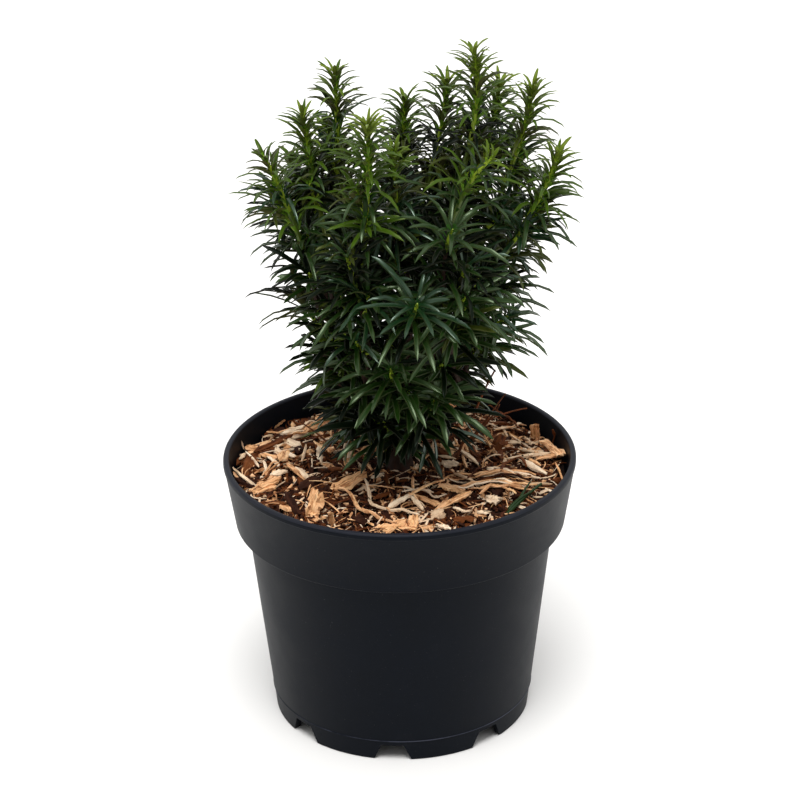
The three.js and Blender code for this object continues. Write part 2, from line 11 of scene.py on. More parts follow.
import bpy
import numpy as np
from bpy.props import FloatProperty, FloatVectorProperty, IntProperty, PointerProperty
from mathutils import Matrix, Vector, noise


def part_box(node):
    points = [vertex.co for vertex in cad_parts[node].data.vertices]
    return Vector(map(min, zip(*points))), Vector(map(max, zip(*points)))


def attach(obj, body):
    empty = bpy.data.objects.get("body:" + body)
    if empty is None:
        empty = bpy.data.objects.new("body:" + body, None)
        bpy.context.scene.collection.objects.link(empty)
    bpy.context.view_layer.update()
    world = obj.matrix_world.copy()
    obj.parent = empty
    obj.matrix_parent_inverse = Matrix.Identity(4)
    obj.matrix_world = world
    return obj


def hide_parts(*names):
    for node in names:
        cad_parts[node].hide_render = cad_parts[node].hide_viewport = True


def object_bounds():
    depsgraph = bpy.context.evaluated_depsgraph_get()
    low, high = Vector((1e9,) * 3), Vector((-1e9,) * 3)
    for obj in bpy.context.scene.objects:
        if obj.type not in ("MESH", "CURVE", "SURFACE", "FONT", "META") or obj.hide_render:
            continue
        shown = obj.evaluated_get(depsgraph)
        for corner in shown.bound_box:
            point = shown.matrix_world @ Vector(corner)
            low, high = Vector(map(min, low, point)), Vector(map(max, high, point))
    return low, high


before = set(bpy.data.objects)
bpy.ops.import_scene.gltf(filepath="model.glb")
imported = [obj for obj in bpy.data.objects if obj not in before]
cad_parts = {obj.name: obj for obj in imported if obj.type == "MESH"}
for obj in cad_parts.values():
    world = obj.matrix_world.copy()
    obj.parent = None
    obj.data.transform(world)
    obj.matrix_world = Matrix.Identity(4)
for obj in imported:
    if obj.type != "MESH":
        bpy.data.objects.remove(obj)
CAD_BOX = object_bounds()

bl_info = {
    "name": "Potted yew",
    "version": (1, 0, 0),
    "blender": (4, 5, 0),
    "location": "View3D > Sidebar > Yew",
    "description": "A young English yew in a nursery pot topped with bark mulch",
    "category": "Add Mesh",
}

MM = 0.001
BODY = "root"
UP = np.array([0.0, 0.0, 1.0])
GOLDEN_ANGLE = math.radians(137.5)
GAP = 0.3 * MM  # between pieces that would otherwise touch

# Seeds of the random draws; each shoot adds its place in the list to the two for its growth
CHIP_SEED = 31
CRUMB_SEED = 53
TWIG_SEED = 100
NEEDLE_SEED = 500
WAVE_SEED = 7

POT_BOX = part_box("pot")
TRUNK_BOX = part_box("trunk")

# Trunk and boughs
TRUNK_FORK_Z = TRUNK_BOX[1].z
TRUNK_START_Z = TRUNK_BOX[0].z - 4 * MM  # its foot goes on down, into the mulch
TRUNK_LEAN = np.array([2.5 * MM, -1.5 * MM, 0.0])  # how far the fork stands from over the foot
TRUNK_RADIUS = 6.4 * MM
TRUNK_FORK_RADIUS = 4.6 * MM
TRUNK_FLARE = 3.4 * MM  # how much thicker the root flare is
TRUNK_FLARE_REACH = 0.16  # how soon that dies away, as a share of the trunk's length
BOUGH_FOOT_RADIUS = 2.5 * MM
BOUGH_TIP_RADIUS = 1.7 * MM
BOUGH_RISE = math.radians(48)  # how steeply a bough leaves the trunk
# How far a limb keeps its direction after its start and before its end, as shares of its reach.
BOUGH_STIFFNESS = (0.4, 0.3)
LEADER_STIFFNESS = (0.3, 0.35)
SHOOT_STIFFNESS = (0.28, 0.34)

# Each bough: the way it faces in degrees, the height where it leaves the trunk, its reach and
# its top, in millimetres.
Bough = namedtuple("Bough", "name facing start reach top")
BOUGHS = [
    Bough("front", -84, 166, 40, 214),
    Bough("front_left", -122, 157, 36, 226),
    Bough("left_front", -157, 166, 42, 218),
    Bough("left", 176, 157, 34, 232),
    Bough("back_left", 137, 166, 42, 218),
    Bough("back", 96, 157, 38, 222),
    Bough("back_right", 57, 166, 44, 216),
    Bough("right", 6, 157, 44, 226),
    Bough("right_front", -32, 167, 42, 212),
    Bough("front_right", -63, 157, 38, 228),
]
LEADER = Bough("centre", 25, 0, 20, 236)

# Each shoot: the limb that carries it, its place there as a share of the limb's length, where
# its topmost needles end in millimetres, how far its end leans outwards in degrees, and how
# young its foliage is, from 0 for old and dark to 1 for this year's growth.
Shoot = namedtuple("Shoot", "name bough at tip lean youth")
SHOOTS = [Shoot(*row) for row in [
    ("left_back_spire", "back_left", 1, (-31, 20, 365), 2, 0.9),
    ("left_spire", "left", 1, (-48, 2, 349), 6, 0.9),
    ("left_outer_spire", "left_front", 1, (-72, -22, 341), 24, 0.8),
    ("left_rear_tuft", "left", 0.8, (-57, 26, 320), 14, 0.4),
    ("front_left_spire", "front_left", 1, (-14, -45, 361), 5, 1.0),
    ("centre_tuft", "centre", 0.7, (-1, -28, 340), 4, 0.35),
    ("back_spire", "back", 1, (5, 38, 344), 2, 0.2),
    ("centre_spire", "centre", 0.88, (27, 22, 359), 2, 0.8),
    ("top_spire", "centre", 1, (39, -2, 383), -10, 1.0),
    ("back_right_spire", "back_right", 1, (55, 33, 355), 6, 0.7),
    ("right_spire", "right", 0.8, (71, 8, 360), 5, 0.9),
    ("right_outer_spire", "right", 1, (85, -6, 331), 14, 0.8),
    ("front_right_star", "front_right", 1, (60, -44, 345), 48, 1.0),
    ("front_star", "front_right", 0.8, (34, -68, 317), 42, 0.15),
    ("front_left_star", "front_left", 0.8, (-29, -62, 302), 30, 0.25),
    ("left_face_tuft", "front_left", 0.9, (-35, -48, 276), 34, 0.15),
    ("front_face_star", "front", 1, (12, -84, 281), 48, 0.1),
    ("front_right_low_star", "right_front", 0.8, (41, -70, 281), 42, 0.2),
    ("right_front_tuft", "right_front", 1, (51, -44, 286), 36, 0.2),
    ("back_left_spire", "back_left", 0.8, (-38, 56, 326), 10, 0.8),
    ("back_outer_spire", "back", 0.8, (4, 74, 312), 14, 0.8),
    ("back_right_tuft", "back_right", 0.85, (36, 64, 321), 10, 0.6),
    ("right_rear_tuft", "back_right", 0.7, (70, 50, 302), 18, 0.6),
    ("left_low_tuft", "left_front", 0.7, (-47, -39, 246), 46, 1.0),
    ("front_low_star", "trunk", 0.43, (-5, -72, 241), 44, 0.15),
    ("front_right_foot", "trunk", 0.34, (26, -63, 222), 44, 0.2),
    ("front_left_foot", "trunk", 0.28, (-11, -56, 202), 48, 0.2),
    ("front_foot", "trunk", 0.22, (12, -28, 216), 50, 0.05),
    ("left_front_foot", "trunk", 0.33, (-32, -44, 238), 40, 0.05),
    ("left_side_foot", "trunk", 0.24, (-40, -18, 219), 44, 0.05),
    ("right_front_foot", "trunk", 0.26, (38, -26, 228), 40, 0.05),
    ("right_low_tuft", "right_front", 0.62, (72, -22, 250), 50, 0.4),
    ("left_foot", "trunk", 0.42, (-38, 18, 228), 32, 0.05),
    ("right_foot", "trunk", 0.42, (38, 26, 236), 32, 0.05),
    ("back_low_tuft", "trunk", 0.42, (2, 72, 250), 16, 0.5),
    ("back_left_foot", "trunk", 0.28, (-38, 54, 222), 20, 0.35),
    ("back_right_foot", "trunk", 0.28, (35, 55, 218), 20, 0.35),
    ("back_foot", "trunk", 0.22, (-12, 54, 190), 28, 0.3),
]]
SPIRE_RISE = 7 * MM  # how far a closed shoot's last needles reach past the end of its stem
STAR_RISE = 20 * MM  # and those of an open one
STAR_TWIGS = 0.45  # how many side twigs an open shoot bears for each one of a closed shoot


# Settings


def linear(code):
    """The linear colour of a hex code."""
    shares = [int(code[i : i + 2], 16) / 255 for i in (0, 2, 4)]
    return tuple(s / 12.92 if s <= 0.04045 else ((s + 0.055) / 1.055) ** 2.4 for s in shares)


def length(name, description, default):
    """A setting that is a real length."""
    return FloatProperty(
        name=name, description=description, default=default, min=0.0, unit="LENGTH", subtype="DISTANCE"
    )


def colour(name, description, code):
    """A setting that is a colour, with its default as a hex code."""
    return FloatVectorProperty(
        name=name, description=description, default=linear(code), min=0.0, max=1.0, size=3, subtype="COLOR"
    )


def angle(name, description, degrees):
    """A setting that is an angle, with its default in degrees."""
    return FloatProperty(
        name=name, description=description, default=math.radians(degrees), unit="ROTATION", subtype="ANGLE"
    )


def share(name, description, default):
    """A setting from 0 to 1."""
    return FloatProperty(
        name=name, description=description, default=default, min=0.0, max=1.0, subtype="FACTOR"
    )


def count(name, description, default):
    """A setting that is a whole number."""
    return IntProperty(name=name, description=description, default=default, min=0)


class YewPotSettings(bpy.types.PropertyGroup):
    """Sizes and colours of the pot."""

    height: length("Height", "From the ground to the top of the rim", POT_BOX[1].z)
    rim_radius: length("Rim radius", "Outer radius of the rim", POT_BOX[1].x)
    lip_width: length("Lip width", "Width of the rim's top", 3.2 * MM)
    lip_depth: length("Lip depth", "Height of the raised lip at the top of the band", 3.4 * MM)
    lip_step: length("Lip step", "How far the lip stands out of the band", 0.5 * MM)
    band_z: length("Band foot", "Height of the lower edge of the band", 113 * MM)
    band_radius: length("Band radius", "Outer radius of the band's lower edge", 89.4 * MM)
    body_radius: length("Body radius", "Outer radius of the wall just below the band", 83 * MM)
    base_radius: length("Base radius", "Outer radius at the ground", 70.3 * MM)
    wall: length("Wall", "Thickness of the wall", 2.6 * MM)
    foot_height: length("Foot height", "Height of the ring that the pot stands on", 10 * MM)
    foot_width: length("Foot width", "Width of the ring that the pot stands on", 4 * MM)
    seam: length("Seam", "How far the moulded seam above the foot stands out", 0.25 * MM)
    seam_rise: length("Seam rise", "Height of the seam above the foot's hollow", 2.2 * MM)
    notches: count("Notches", "Drainage notches in the foot", 8)
    notch_turn: angle("Notch turn", "Direction of the first notch", -94.6)
    notch_top: length("Notch top", "Width of a notch at its top", 12 * MM)
    notch_foot: length("Notch foot", "Width of a notch at the ground", 22 * MM)
    plastic: colour("Plastic", "Colour of the moulded plastic", "05080f")
    # Also the base of the painted highlight along the rim's lip
    scuffed_and_lit: colour("Scuffed plastic", "Colour where the plastic is rubbed or dusty", "14151a")


class YewMulchSettings(bpy.types.PropertyGroup):
    """Sizes and colours of the mulch."""

    edge_z: length("Edge height", "Height of the mulch at the wall", 135 * MM)
    top_z: length("Top height", "Height of the mulch round the trunk", 139 * MM)
    crown_radius: length("Crown radius", "Radius of the level patch round the trunk", 18 * MM)
    relief: length("Relief", "Height of the mulch's humps", 1.4 * MM)
    chips: count("Chips", "Large chips of wood besides the placed ones", 170)
    slivers: count("Slivers", "Thin splinters of wood besides the placed ones", 200)
    bits: count("Bits", "Small broken bits of wood", 1450)
    fibres: count("Fibres", "Fine fibres of bark", 950)
    flakes: count("Flakes", "Flakes of dark bark", 850)
    crumbs: count("Crumbs", "Crumbs of bark between the chips", 4200)
    soil: colour("Soil", "Colour of the compost between the chips", "1b0c05")
    cream: colour("Cream wood", "Colour of the freshest wood", "ffe7ca")
    tan: colour("Tan wood", "Colour of most of the wood", "ffcb9b")
    russet: colour("Russet wood", "Colour of the weathered wood", "6f3f1d")
    bark: colour("Bark flakes", "Colour of the bark flakes", "3a1f13")
    crumb: colour("Crumbs", "Colour of the crumbs", "3c1a08")


class YewPlantSettings(bpy.types.PropertyGroup):
    """Sizes and colours of the plant."""

    longest: length("Longest needle", "Length of the needles low on a shoot", 32 * MM)
    shortest: length("Shortest needle", "Length of the needles at a shoot's end", 10 * MM)
    width: length("Needle width", "Width of a full-grown needle", 2.85 * MM)
    step: length("Needle step", "From one needle to the next at a shoot's end", 0.58 * MM)
    step_growth: share("Step growth", "How fast the step widens further down", 0.05)
    twig_step: length("Twig step", "Length of shoot for each side twig", 25 * MM)
    stem_foot: length("Stem foot radius", "Radius of a shoot's stem at its foot", 1.6 * MM)
    stem_tip: length("Stem tip radius", "Radius of a shoot's stem at its end", 1.0 * MM)
    deep: colour("Deep green", "Most of the old needles", "152c08")
    # Also painted as shade on needles deep inside the crown
    dark: colour("Dark green", "The oldest needles", "050d03")
    blue: colour("Blue green", "Old needles with a bloom", "102b12")
    olive: colour("Olive green", "Old needles that have yellowed", "323b10")
    mid: colour("Mid green", "Last year's needles", "374f0d")
    fresh: colour("Fresh green", "This year's needles", "4a5e11")
    tip: colour("Tip green", "Needles still opening", "5f7020")
    underside: colour("Underside", "The pale undersides and margins of the needles", "6b6644")
    stem: colour("Young stem", "Bark of this year's stems", "93ab28")
    twig: colour("Older stem", "Bark of last year's stems", "4c6014")
    wood: colour("Wood", "Bark of the woody stems", "2c1a10")
    dry: colour("Dry twig", "Dead twigs at the foot", "6a3c20")
    fallen: colour("Fallen sprig", "A green sprig that lies on the mulch", "16300a")


class YewStageSettings(bpy.types.PropertyGroup):
    """Camera, floor and lights."""

    distance: length("Camera distance", "From the camera to its target", 1.6)
    lens: FloatProperty(
        name="Lens", description="Focal length on a 36 mm sensor", default=134.85, unit="CAMERA"
    )
    elevation: angle("Elevation", "How far the camera looks down", 25.484)
    roll: angle("Roll", "How far the camera is tilted sideways", -0.703)
    target_x: FloatProperty(
        name="Target across", description="Sideways place of the camera's target", default=0.589 * MM,
        unit="LENGTH", subtype="DISTANCE",
    )
    target_z: length("Target height", "Height of the camera's target", 181.238 * MM)
    floor_size: length("Floor size", "Side of the floor", 14.0)
    floor: colour("Floor", "Colour of the floor", "ecebe9")
    surround: FloatProperty(
        name="Surround", description="Strength of the light from all round", default=1.15, min=0.0
    )
    front_shade: share("Front shade", "How much of that light is left at the camera's side", 0.22)
    key: FloatProperty(name="Key light", description="Strength of the light overhead", default=2.2, min=0.0)
    key_spread: angle("Key spread", "Width of the light overhead, seen from the plant", 26)
    key_tilt: angle("Key tilt", "How far the light overhead leans over from upright", 22)
    key_turn: angle("Key turn", "Which way the light overhead leans, from +X", -96)


# Vectors, paths and strips


def unit(vectors):
    """Vectors scaled to a length of 1."""
    return vectors / np.linalg.norm(vectors, axis=-1, keepdims=True)


def mix(start, end, amount):
    """The value that lies a share of the way from a start to an end."""
    return start + (end - start) * amount


def facing(degrees):
    """A level unit vector that faces the given number of degrees round from +X."""
    return np.array([math.cos(math.radians(degrees)), math.sin(math.radians(degrees)), 0.0])


def bezier(corners, samples=48):
    """Points along a Bezier curve through its control points."""
    amount = np.linspace(0, 1, samples + 1)[:, None]
    level = [np.asarray(corner, float) + 0 * amount for corner in corners]
    while len(level) > 1:
        level = [mix(first, second, amount) for first, second in zip(level, level[1:])]
    return level[0]


class Path:
    """A smooth line that is read by share of its length, with its radius and a steady side."""

    HEADING_REACH = 0.02  # how far to either side its direction is taken, as a share

    def __init__(self, points, foot_radius, tip_radius):
        self.points = points
        steps = np.linalg.norm(np.diff(points, axis=0), axis=1)
        self.reach = np.concatenate(([0.0], np.cumsum(steps)))
        self.length = self.reach[-1]
        self.radii = (foot_radius, tip_radius)
        chord = points[-1] - points[0]
        side = np.cross(UP, chord)
        self.side = unit(side) if np.linalg.norm(side) > 1e-6 else np.array([1.0, 0.0, 0.0])

    def at(self, amount):
        """Points at shares of its length."""
        place = np.clip(amount, 0, 1) * self.length
        return np.stack([np.interp(place, self.reach, self.points[:, i]) for i in range(3)], axis=-1)

    def heading(self, amount):
        """Unit vectors along it, there."""
        after = np.minimum(amount + self.HEADING_REACH, 1)
        before = np.maximum(amount - self.HEADING_REACH, 0)
        return unit(self.at(after) - self.at(before))

    def radius_at(self, amount):
        """Its radius there."""
        return mix(*self.radii, amount)

    def across(self, amount):
        """A unit vector square to the path that doesn't turn along it."""
        along = self.heading(amount)
        return unit(self.side - along * (along @ self.side)[..., None])


def strip_faces(rings, sides, pointed):
    """Faces of one strip as tuples of vertex numbers, with the ring and side of each.

    Its vertices are its rings in order, each anticlockwise seen from its far end, and then, on a
    pointed strip, its root and its tip."""
    faces = []
    last = (rings - 1) * sides
    root, tip = rings * sides, rings * sides + 1
    for side in range(sides):
        after = (side + 1) % sides
        for ring in range(rings - 1):
            corner = ring * sides
            quad = (corner + side, corner + after, corner + sides + after, corner + sides + side)
            faces.append((quad, ring + 1, side))
        if pointed:
            faces.append(((root, after, side), 0, side))
            faces.append(((tip, last + side, last + after), rings, side))
    if not pointed:
        faces.append((tuple(reversed(range(sides))), 0, 0))
        faces.append((tuple(range(last, last + sides)), rings, 0))
    return faces


def strip_points(centres, across, up, widths, heights, section, pointed):
    """Vertices of many strips: (strips, stations, 3) centres, and a section of (x, y) points."""
    section = np.asarray(section, float)
    inner = slice(1, -1) if pointed else slice(None)
    sideways = across[:, inner, None] * (widths[:, inner, None] * section[:, 0])[..., None]
    upwards = up[:, inner, None] * (heights[:, inner, None] * section[:, 1])[..., None]
    rings = centres[:, inner, None] + sideways + upwards
    vertices = rings.reshape(len(centres), -1, 3)
    if pointed:
        vertices = np.concatenate([vertices, centres[:, :1], centres[:, -1:]], axis=1)
    return vertices


def mesh_of(name, vertices, faces, slots=None):
    """A mesh of many like bodies: (bodies, vertices, 3) points and the faces of one body."""
    bodies, each = vertices.shape[:2]
    corners = np.concatenate([face for face, _, _ in faces])
    totals = np.array([len(face) for face, _, _ in faces])
    offsets = np.arange(bodies)[:, None] * each
    mesh = bpy.data.meshes.new(name)
    mesh.vertices.add(bodies * each)
    mesh.vertices.foreach_set("co", vertices.astype(np.float32).ravel())
    mesh.loops.add(bodies * len(corners))
    mesh.loops.foreach_set("vertex_index", (offsets + corners).astype(np.int32).ravel())
    all_totals = np.tile(totals, bodies)
    mesh.polygons.add(bodies * len(totals))
    mesh.polygons.foreach_set("loop_start", np.concatenate(([0], np.cumsum(all_totals)[:-1])))
    if slots is not None:
        mesh.polygons.foreach_set("material_index", np.asarray(slots, np.int32).ravel())
    mesh.update(calc_edges=True)
    return mesh


def smooth(mesh, degrees):
    """Smooth shading, apart from edges sharper than the given angle."""
    mesh.polygons.foreach_set("use_smooth", np.ones(len(mesh.polygons), bool))
    mesh.set_sharp_from_angle(angle=math.radians(degrees))


def add_grain(mesh, coordinates):
    """A UV map along the grain, from one pair for each vertex."""
    corners = np.zeros(len(mesh.loops), np.int32)
    mesh.loops.foreach_get("vertex_index", corners)
    layer = mesh.uv_layers.new(name="grain")
    layer.data.foreach_set("uv", coordinates.reshape(-1, 2)[corners].astype(np.float32).ravel())


def add_piece(name, mesh, materials, replaced=()):
    """An object that rides on the body and stands for the nodes that it replaces."""
    mesh.name = name
    for material in materials:
        mesh.materials.append(material)
    piece = bpy.data.objects.new(name, mesh)
    bpy.context.scene.collection.objects.link(piece)
    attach(piece, BODY)
    if replaced:
        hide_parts(*replaced)
    return piece


# Materials


# Places of the sockets that a mix node has several of by the same name
NUMBER_A = 2
NUMBER_B = 3
NUMBER_RESULT = 0
COLOUR_A = 6
COLOUR_B = 7
COLOUR_RESULT = 2


class Finish:
    """A material with its shader, and short names for the nodes that feed it."""

    def __init__(self, name, roughness, specular=0.5):
        self.material = bpy.data.materials.new(name)
        self.material.use_nodes = True
        self.nodes = self.material.node_tree.nodes
        self.links = self.material.node_tree.links
        self.shader = self.nodes["Principled BSDF"]
        self.shader.inputs["Roughness"].default_value = roughness
        self.shader.inputs["Specular IOR Level"].default_value = specular

    def node(self, kind, **values):
        """A new node with some of its values set."""
        made = self.nodes.new(kind)
        for key, value in values.items():
            setattr(made, key, value)
        return made

    def feed(self, source, target):
        """A link from one socket to another."""
        self.links.new(source, target)

    def place(self, scale=(1, 1, 1), output="Object"):
        """Coordinates stretched by the given scale."""
        coordinates = self.node("ShaderNodeTexCoord")
        mapping = self.node("ShaderNodeMapping")
        mapping.inputs["Scale"].default_value = scale
        self.feed(coordinates.outputs[output], mapping.inputs["Vector"])
        return mapping.outputs["Vector"]

    def noise(self, place, scale, detail, roughness=0.6):
        """A cloudy pattern from 0 to 1."""
        made = self.node("ShaderNodeTexNoise")
        made.inputs["Scale"].default_value = scale
        made.inputs["Detail"].default_value = detail
        made.inputs["Roughness"].default_value = roughness
        self.feed(place, made.inputs["Vector"])
        return made.outputs["Fac"]

    def ramp(self, source, stops):
        """A colour ramp of (place, linear colour) stops."""
        made = self.node("ShaderNodeValToRGB")
        elements = made.color_ramp.elements
        while len(elements) < len(stops):
            elements.new(0.5)
        for element, (place, tint) in zip(elements, stops):
            element.position = place
            element.color = (*tint, 1)
        self.feed(source, made.inputs["Fac"])
        return made.outputs["Color"]

    def spread(self, source, low, high):
        """The source from 0 to 1 spread between two values."""
        made = self.node("ShaderNodeMapRange")
        made.inputs["To Min"].default_value = low
        made.inputs["To Max"].default_value = high
        self.feed(source, made.inputs["Value"])
        return made.outputs["Result"]

    def blend(self, amount, first, second, kind="MIX"):
        """Two colour sockets blended by an amount that is a socket or a number."""
        made = self.node("ShaderNodeMix", data_type="RGBA", blend_type=kind)
        if isinstance(amount, float):
            made.inputs["Factor"].default_value = amount
        else:
            self.feed(amount, made.inputs["Factor"])
        self.feed(first, made.inputs[COLOUR_A])
        self.feed(second, made.inputs[COLOUR_B])
        return made.outputs[COLOUR_RESULT]

    def bump(self, height, strength, distance):
        """Fine relief in the surface."""
        made = self.node("ShaderNodeBump")
        made.inputs["Strength"].default_value = strength
        made.inputs["Distance"].default_value = distance
        self.feed(height, made.inputs["Height"])
        self.feed(made.outputs["Normal"], self.shader.inputs["Normal"])

    def level_band(self, z, half_width):
        """1 at a height and 0 further from it than the half width."""
        split = self.node("ShaderNodeSeparateXYZ")
        self.feed(self.place(), split.inputs["Vector"])
        away = self.node("ShaderNodeMath", operation="COMPARE")
        away.inputs[1].default_value = z
        away.inputs[2].default_value = half_width
        self.feed(split.outputs["Z"], away.inputs[0])
        return away.outputs["Value"]

    def paint(self, source):
        """The surface's colour from a socket."""
        self.feed(source, self.shader.inputs["Base Color"])

    def polish(self, source):
        """The surface's roughness from a socket."""
        self.feed(source, self.shader.inputs["Roughness"])


def shaded(tint, amount):
    """A colour made lighter or darker."""
    return tuple(min(1.0, part * amount) for part in tint)


SEAM_HALF_BAND = 0.36 * MM  # how far to either side of the seam's middle it is painted paler
LIP_HALF_BAND = 1.1 * MM  # and how far below the rim's top the lip is, which is painted lighter as a highlight


def plastic_finish(settings):
    """Moulded plastic with faint upright flow marks, mottling and a little dust, a paler seam, and a painted
    highlight along the rim's lip.
    """
    finish = Finish("moulded_plastic", roughness=0.5, specular=0.1)
    finish.shader.inputs["Specular Tint"].default_value = (0.8, 0.88, 1.0, 1)
    mottle = finish.noise(finish.place(), scale=45, detail=5)
    flow = finish.noise(finish.place((1, 1, 0.06)), scale=420, detail=3)
    plain, scuff_and_highlight = tuple(settings.plastic), tuple(settings.scuffed_and_lit)
    body = finish.ramp(mottle, [(0.3, shaded(plain, 0.82)), (0.62, shaded(plain, 1.12)), (0.9, scuff_and_highlight)])
    streak = finish.ramp(flow, [(0.35, (0.86,) * 3), (0.7, (1.0,) * 3)])
    streaked = finish.blend(0.6, body, streak, "MULTIPLY")
    specks = finish.noise(finish.place(), scale=1300, detail=2)
    dust = finish.ramp(specks, [(0.69, (0,) * 3), (0.82, (0.05,) * 3)])
    dusty = finish.blend(1.0, streaked, dust, "ADD")
    # The seam is painted paler in broken arcs
    pale_seam = finish.ramp(mottle, [(0.38, shaded(plain, 1.6)), (0.56, shaded(scuff_and_highlight, 5.5))])
    seam_z = settings.foot_height + settings.seam_rise
    seamed = finish.blend(finish.level_band(seam_z, SEAM_HALF_BAND), dusty, pale_seam)
    # Painted highlight: the rounded lip at the rim's top is painted lighter than the plastic round it
    lip_highlight = finish.ramp(mottle, [(0.2, shaded(scuff_and_highlight, 1.2)), (0.8, shaded(scuff_and_highlight, 2.6))])
    finish.paint(finish.blend(finish.level_band(settings.height, LIP_HALF_BAND), seamed, lip_highlight))
    finish.polish(finish.spread(mottle, low=0.4, high=0.58))
    grit = finish.noise(finish.place((1, 1, 0.5)), scale=1500, detail=2)
    finish.bump(grit, strength=0.12, distance=0.2 * MM)
    return finish.material


def soil_finish(tint):
    """Dark crumbly compost."""
    finish = Finish("compost", roughness=0.95, specular=0.25)
    clod = finish.noise(finish.place(), scale=260, detail=6, roughness=0.7)
    stops = [(0.3, shaded(tint, 0.3)), (0.55, tint), (0.8, shaded(tint, 2.2))]
    finish.paint(finish.ramp(clod, stops))
    finish.bump(clod, strength=0.9, distance=1.2 * MM)
    return finish.material


def wood_finish(name, tint, contrast, stained_by=0.8, roughness=0.75):
    """Split wood whose grain runs along each chip, with a shade of its own for every chip."""
    finish = Finish(name, roughness, specular=0.15)
    grain = finish.noise(finish.place((45, 1000, 1), "UV"), scale=1, detail=5, roughness=0.7)
    patch = finish.noise(finish.place((9, 9, 1), "UV"), scale=1, detail=2, roughness=0.5)
    stain = finish.noise(finish.place((130, 420, 1), "UV"), scale=1, detail=4, roughness=0.65)
    stops = [(0.28, shaded(tint, 1 - contrast)), (0.5, tint), (0.75, shaded(tint, 1 + 0.5 * contrast))]
    fibre = finish.ramp(grain, stops)
    shades = [(0.3, (0.46, 0.35, 0.26)), (0.46, (0.92, 0.85, 0.77)), (0.6, (1.0, 1.0, 1.0))]
    tone = finish.ramp(patch, shades)
    stains = [(0.37, (0.3, 0.16, 0.08)), (0.5, (0.91, 0.83, 0.74)), (0.57, (1.0, 1.0, 1.0))]
    stained = finish.ramp(stain, stains)
    toned = finish.blend(0.85, fibre, tone, "MULTIPLY")
    finish.paint(finish.blend(stained_by, toned, stained, "MULTIPLY"))
    finish.bump(grain, strength=0.9, distance=0.5 * MM)
    return finish.material


def crumb_finish(name, tint, lightest):
    """Crumbs of bark, each a little lighter or darker than the next."""
    finish = Finish(name, roughness=0.9, specular=0.3)
    shade = finish.noise(finish.place(), scale=330, detail=3)
    finish.paint(finish.ramp(shade, [(0.3, shaded(tint, 0.35)), (0.5, tint), (0.7, shaded(tint, lightest))]))
    finish.bump(finish.noise(finish.place(), scale=1400, detail=3), strength=0.6, distance=0.3 * MM)
    return finish.material


def bark_finish(name, tint):
    """Thin bark that flakes in long patches, redder underneath."""
    finish = Finish(name, roughness=0.82, specular=0.3)
    flakes = finish.noise(finish.place((1, 1, 0.3)), scale=240, detail=5, roughness=0.65)
    under = (tint[0] * 2.1, tint[1] * 1.5, tint[2] * 1.2)
    finish.paint(finish.ramp(flakes, [(0.32, shaded(tint, 0.45)), (0.52, tint), (0.72, under)]))
    finish.bump(flakes, strength=0.7, distance=0.6 * MM)
    return finish.material


def plain_finish(name, tint, roughness, specular=0.5, sheen=(1.0, 1.0, 1.0)):
    """One plain colour all over, and the colour of its gloss."""
    finish = Finish(name, roughness, specular)
    finish.shader.inputs["Base Color"].default_value = (*tint, 1)
    finish.shader.inputs["Specular Tint"].default_value = (*sheen, 1)
    return finish.material


# Pot


POT_SIDES = 192
FOOT_EDGE = 0.4 * MM  # bevel of the foot's outer edge
NOTCH_ROOM = 0.6 * MM  # how far below the foot's hollow a notch ends
SEAM_EDGE = 0.4 * MM  # how far below its middle the seam starts to stand out
SEAM_HALF = 0.15 * MM  # half the width of its flat
SEAM_RETURN = 0.5 * MM  # how far above its middle it ends
NECK_ROUND = 1.2 * MM  # hollow corner where the body meets the band
BAND_ROUND = 0.9 * MM  # lower edge of the band
LIP_UNDERCUT = 0.3 * MM  # how far below the lip the band ends
LIP_ROUND = 0.5 * MM  # lower edge of the lip
RIM_ROUND = 1.3 * MM  # outer edge of the rim's top
RIM_INNER_ROUND = 1.0 * MM  # and its inner edge


def rounded(centre, radius, start, end, steps=5):
    """Points of a rounded corner between two directions in degrees."""
    turns = np.radians(np.linspace(start, end, steps))
    return [(centre[0] + radius * math.cos(turn), centre[1] + radius * math.sin(turn)) for turn in turns]


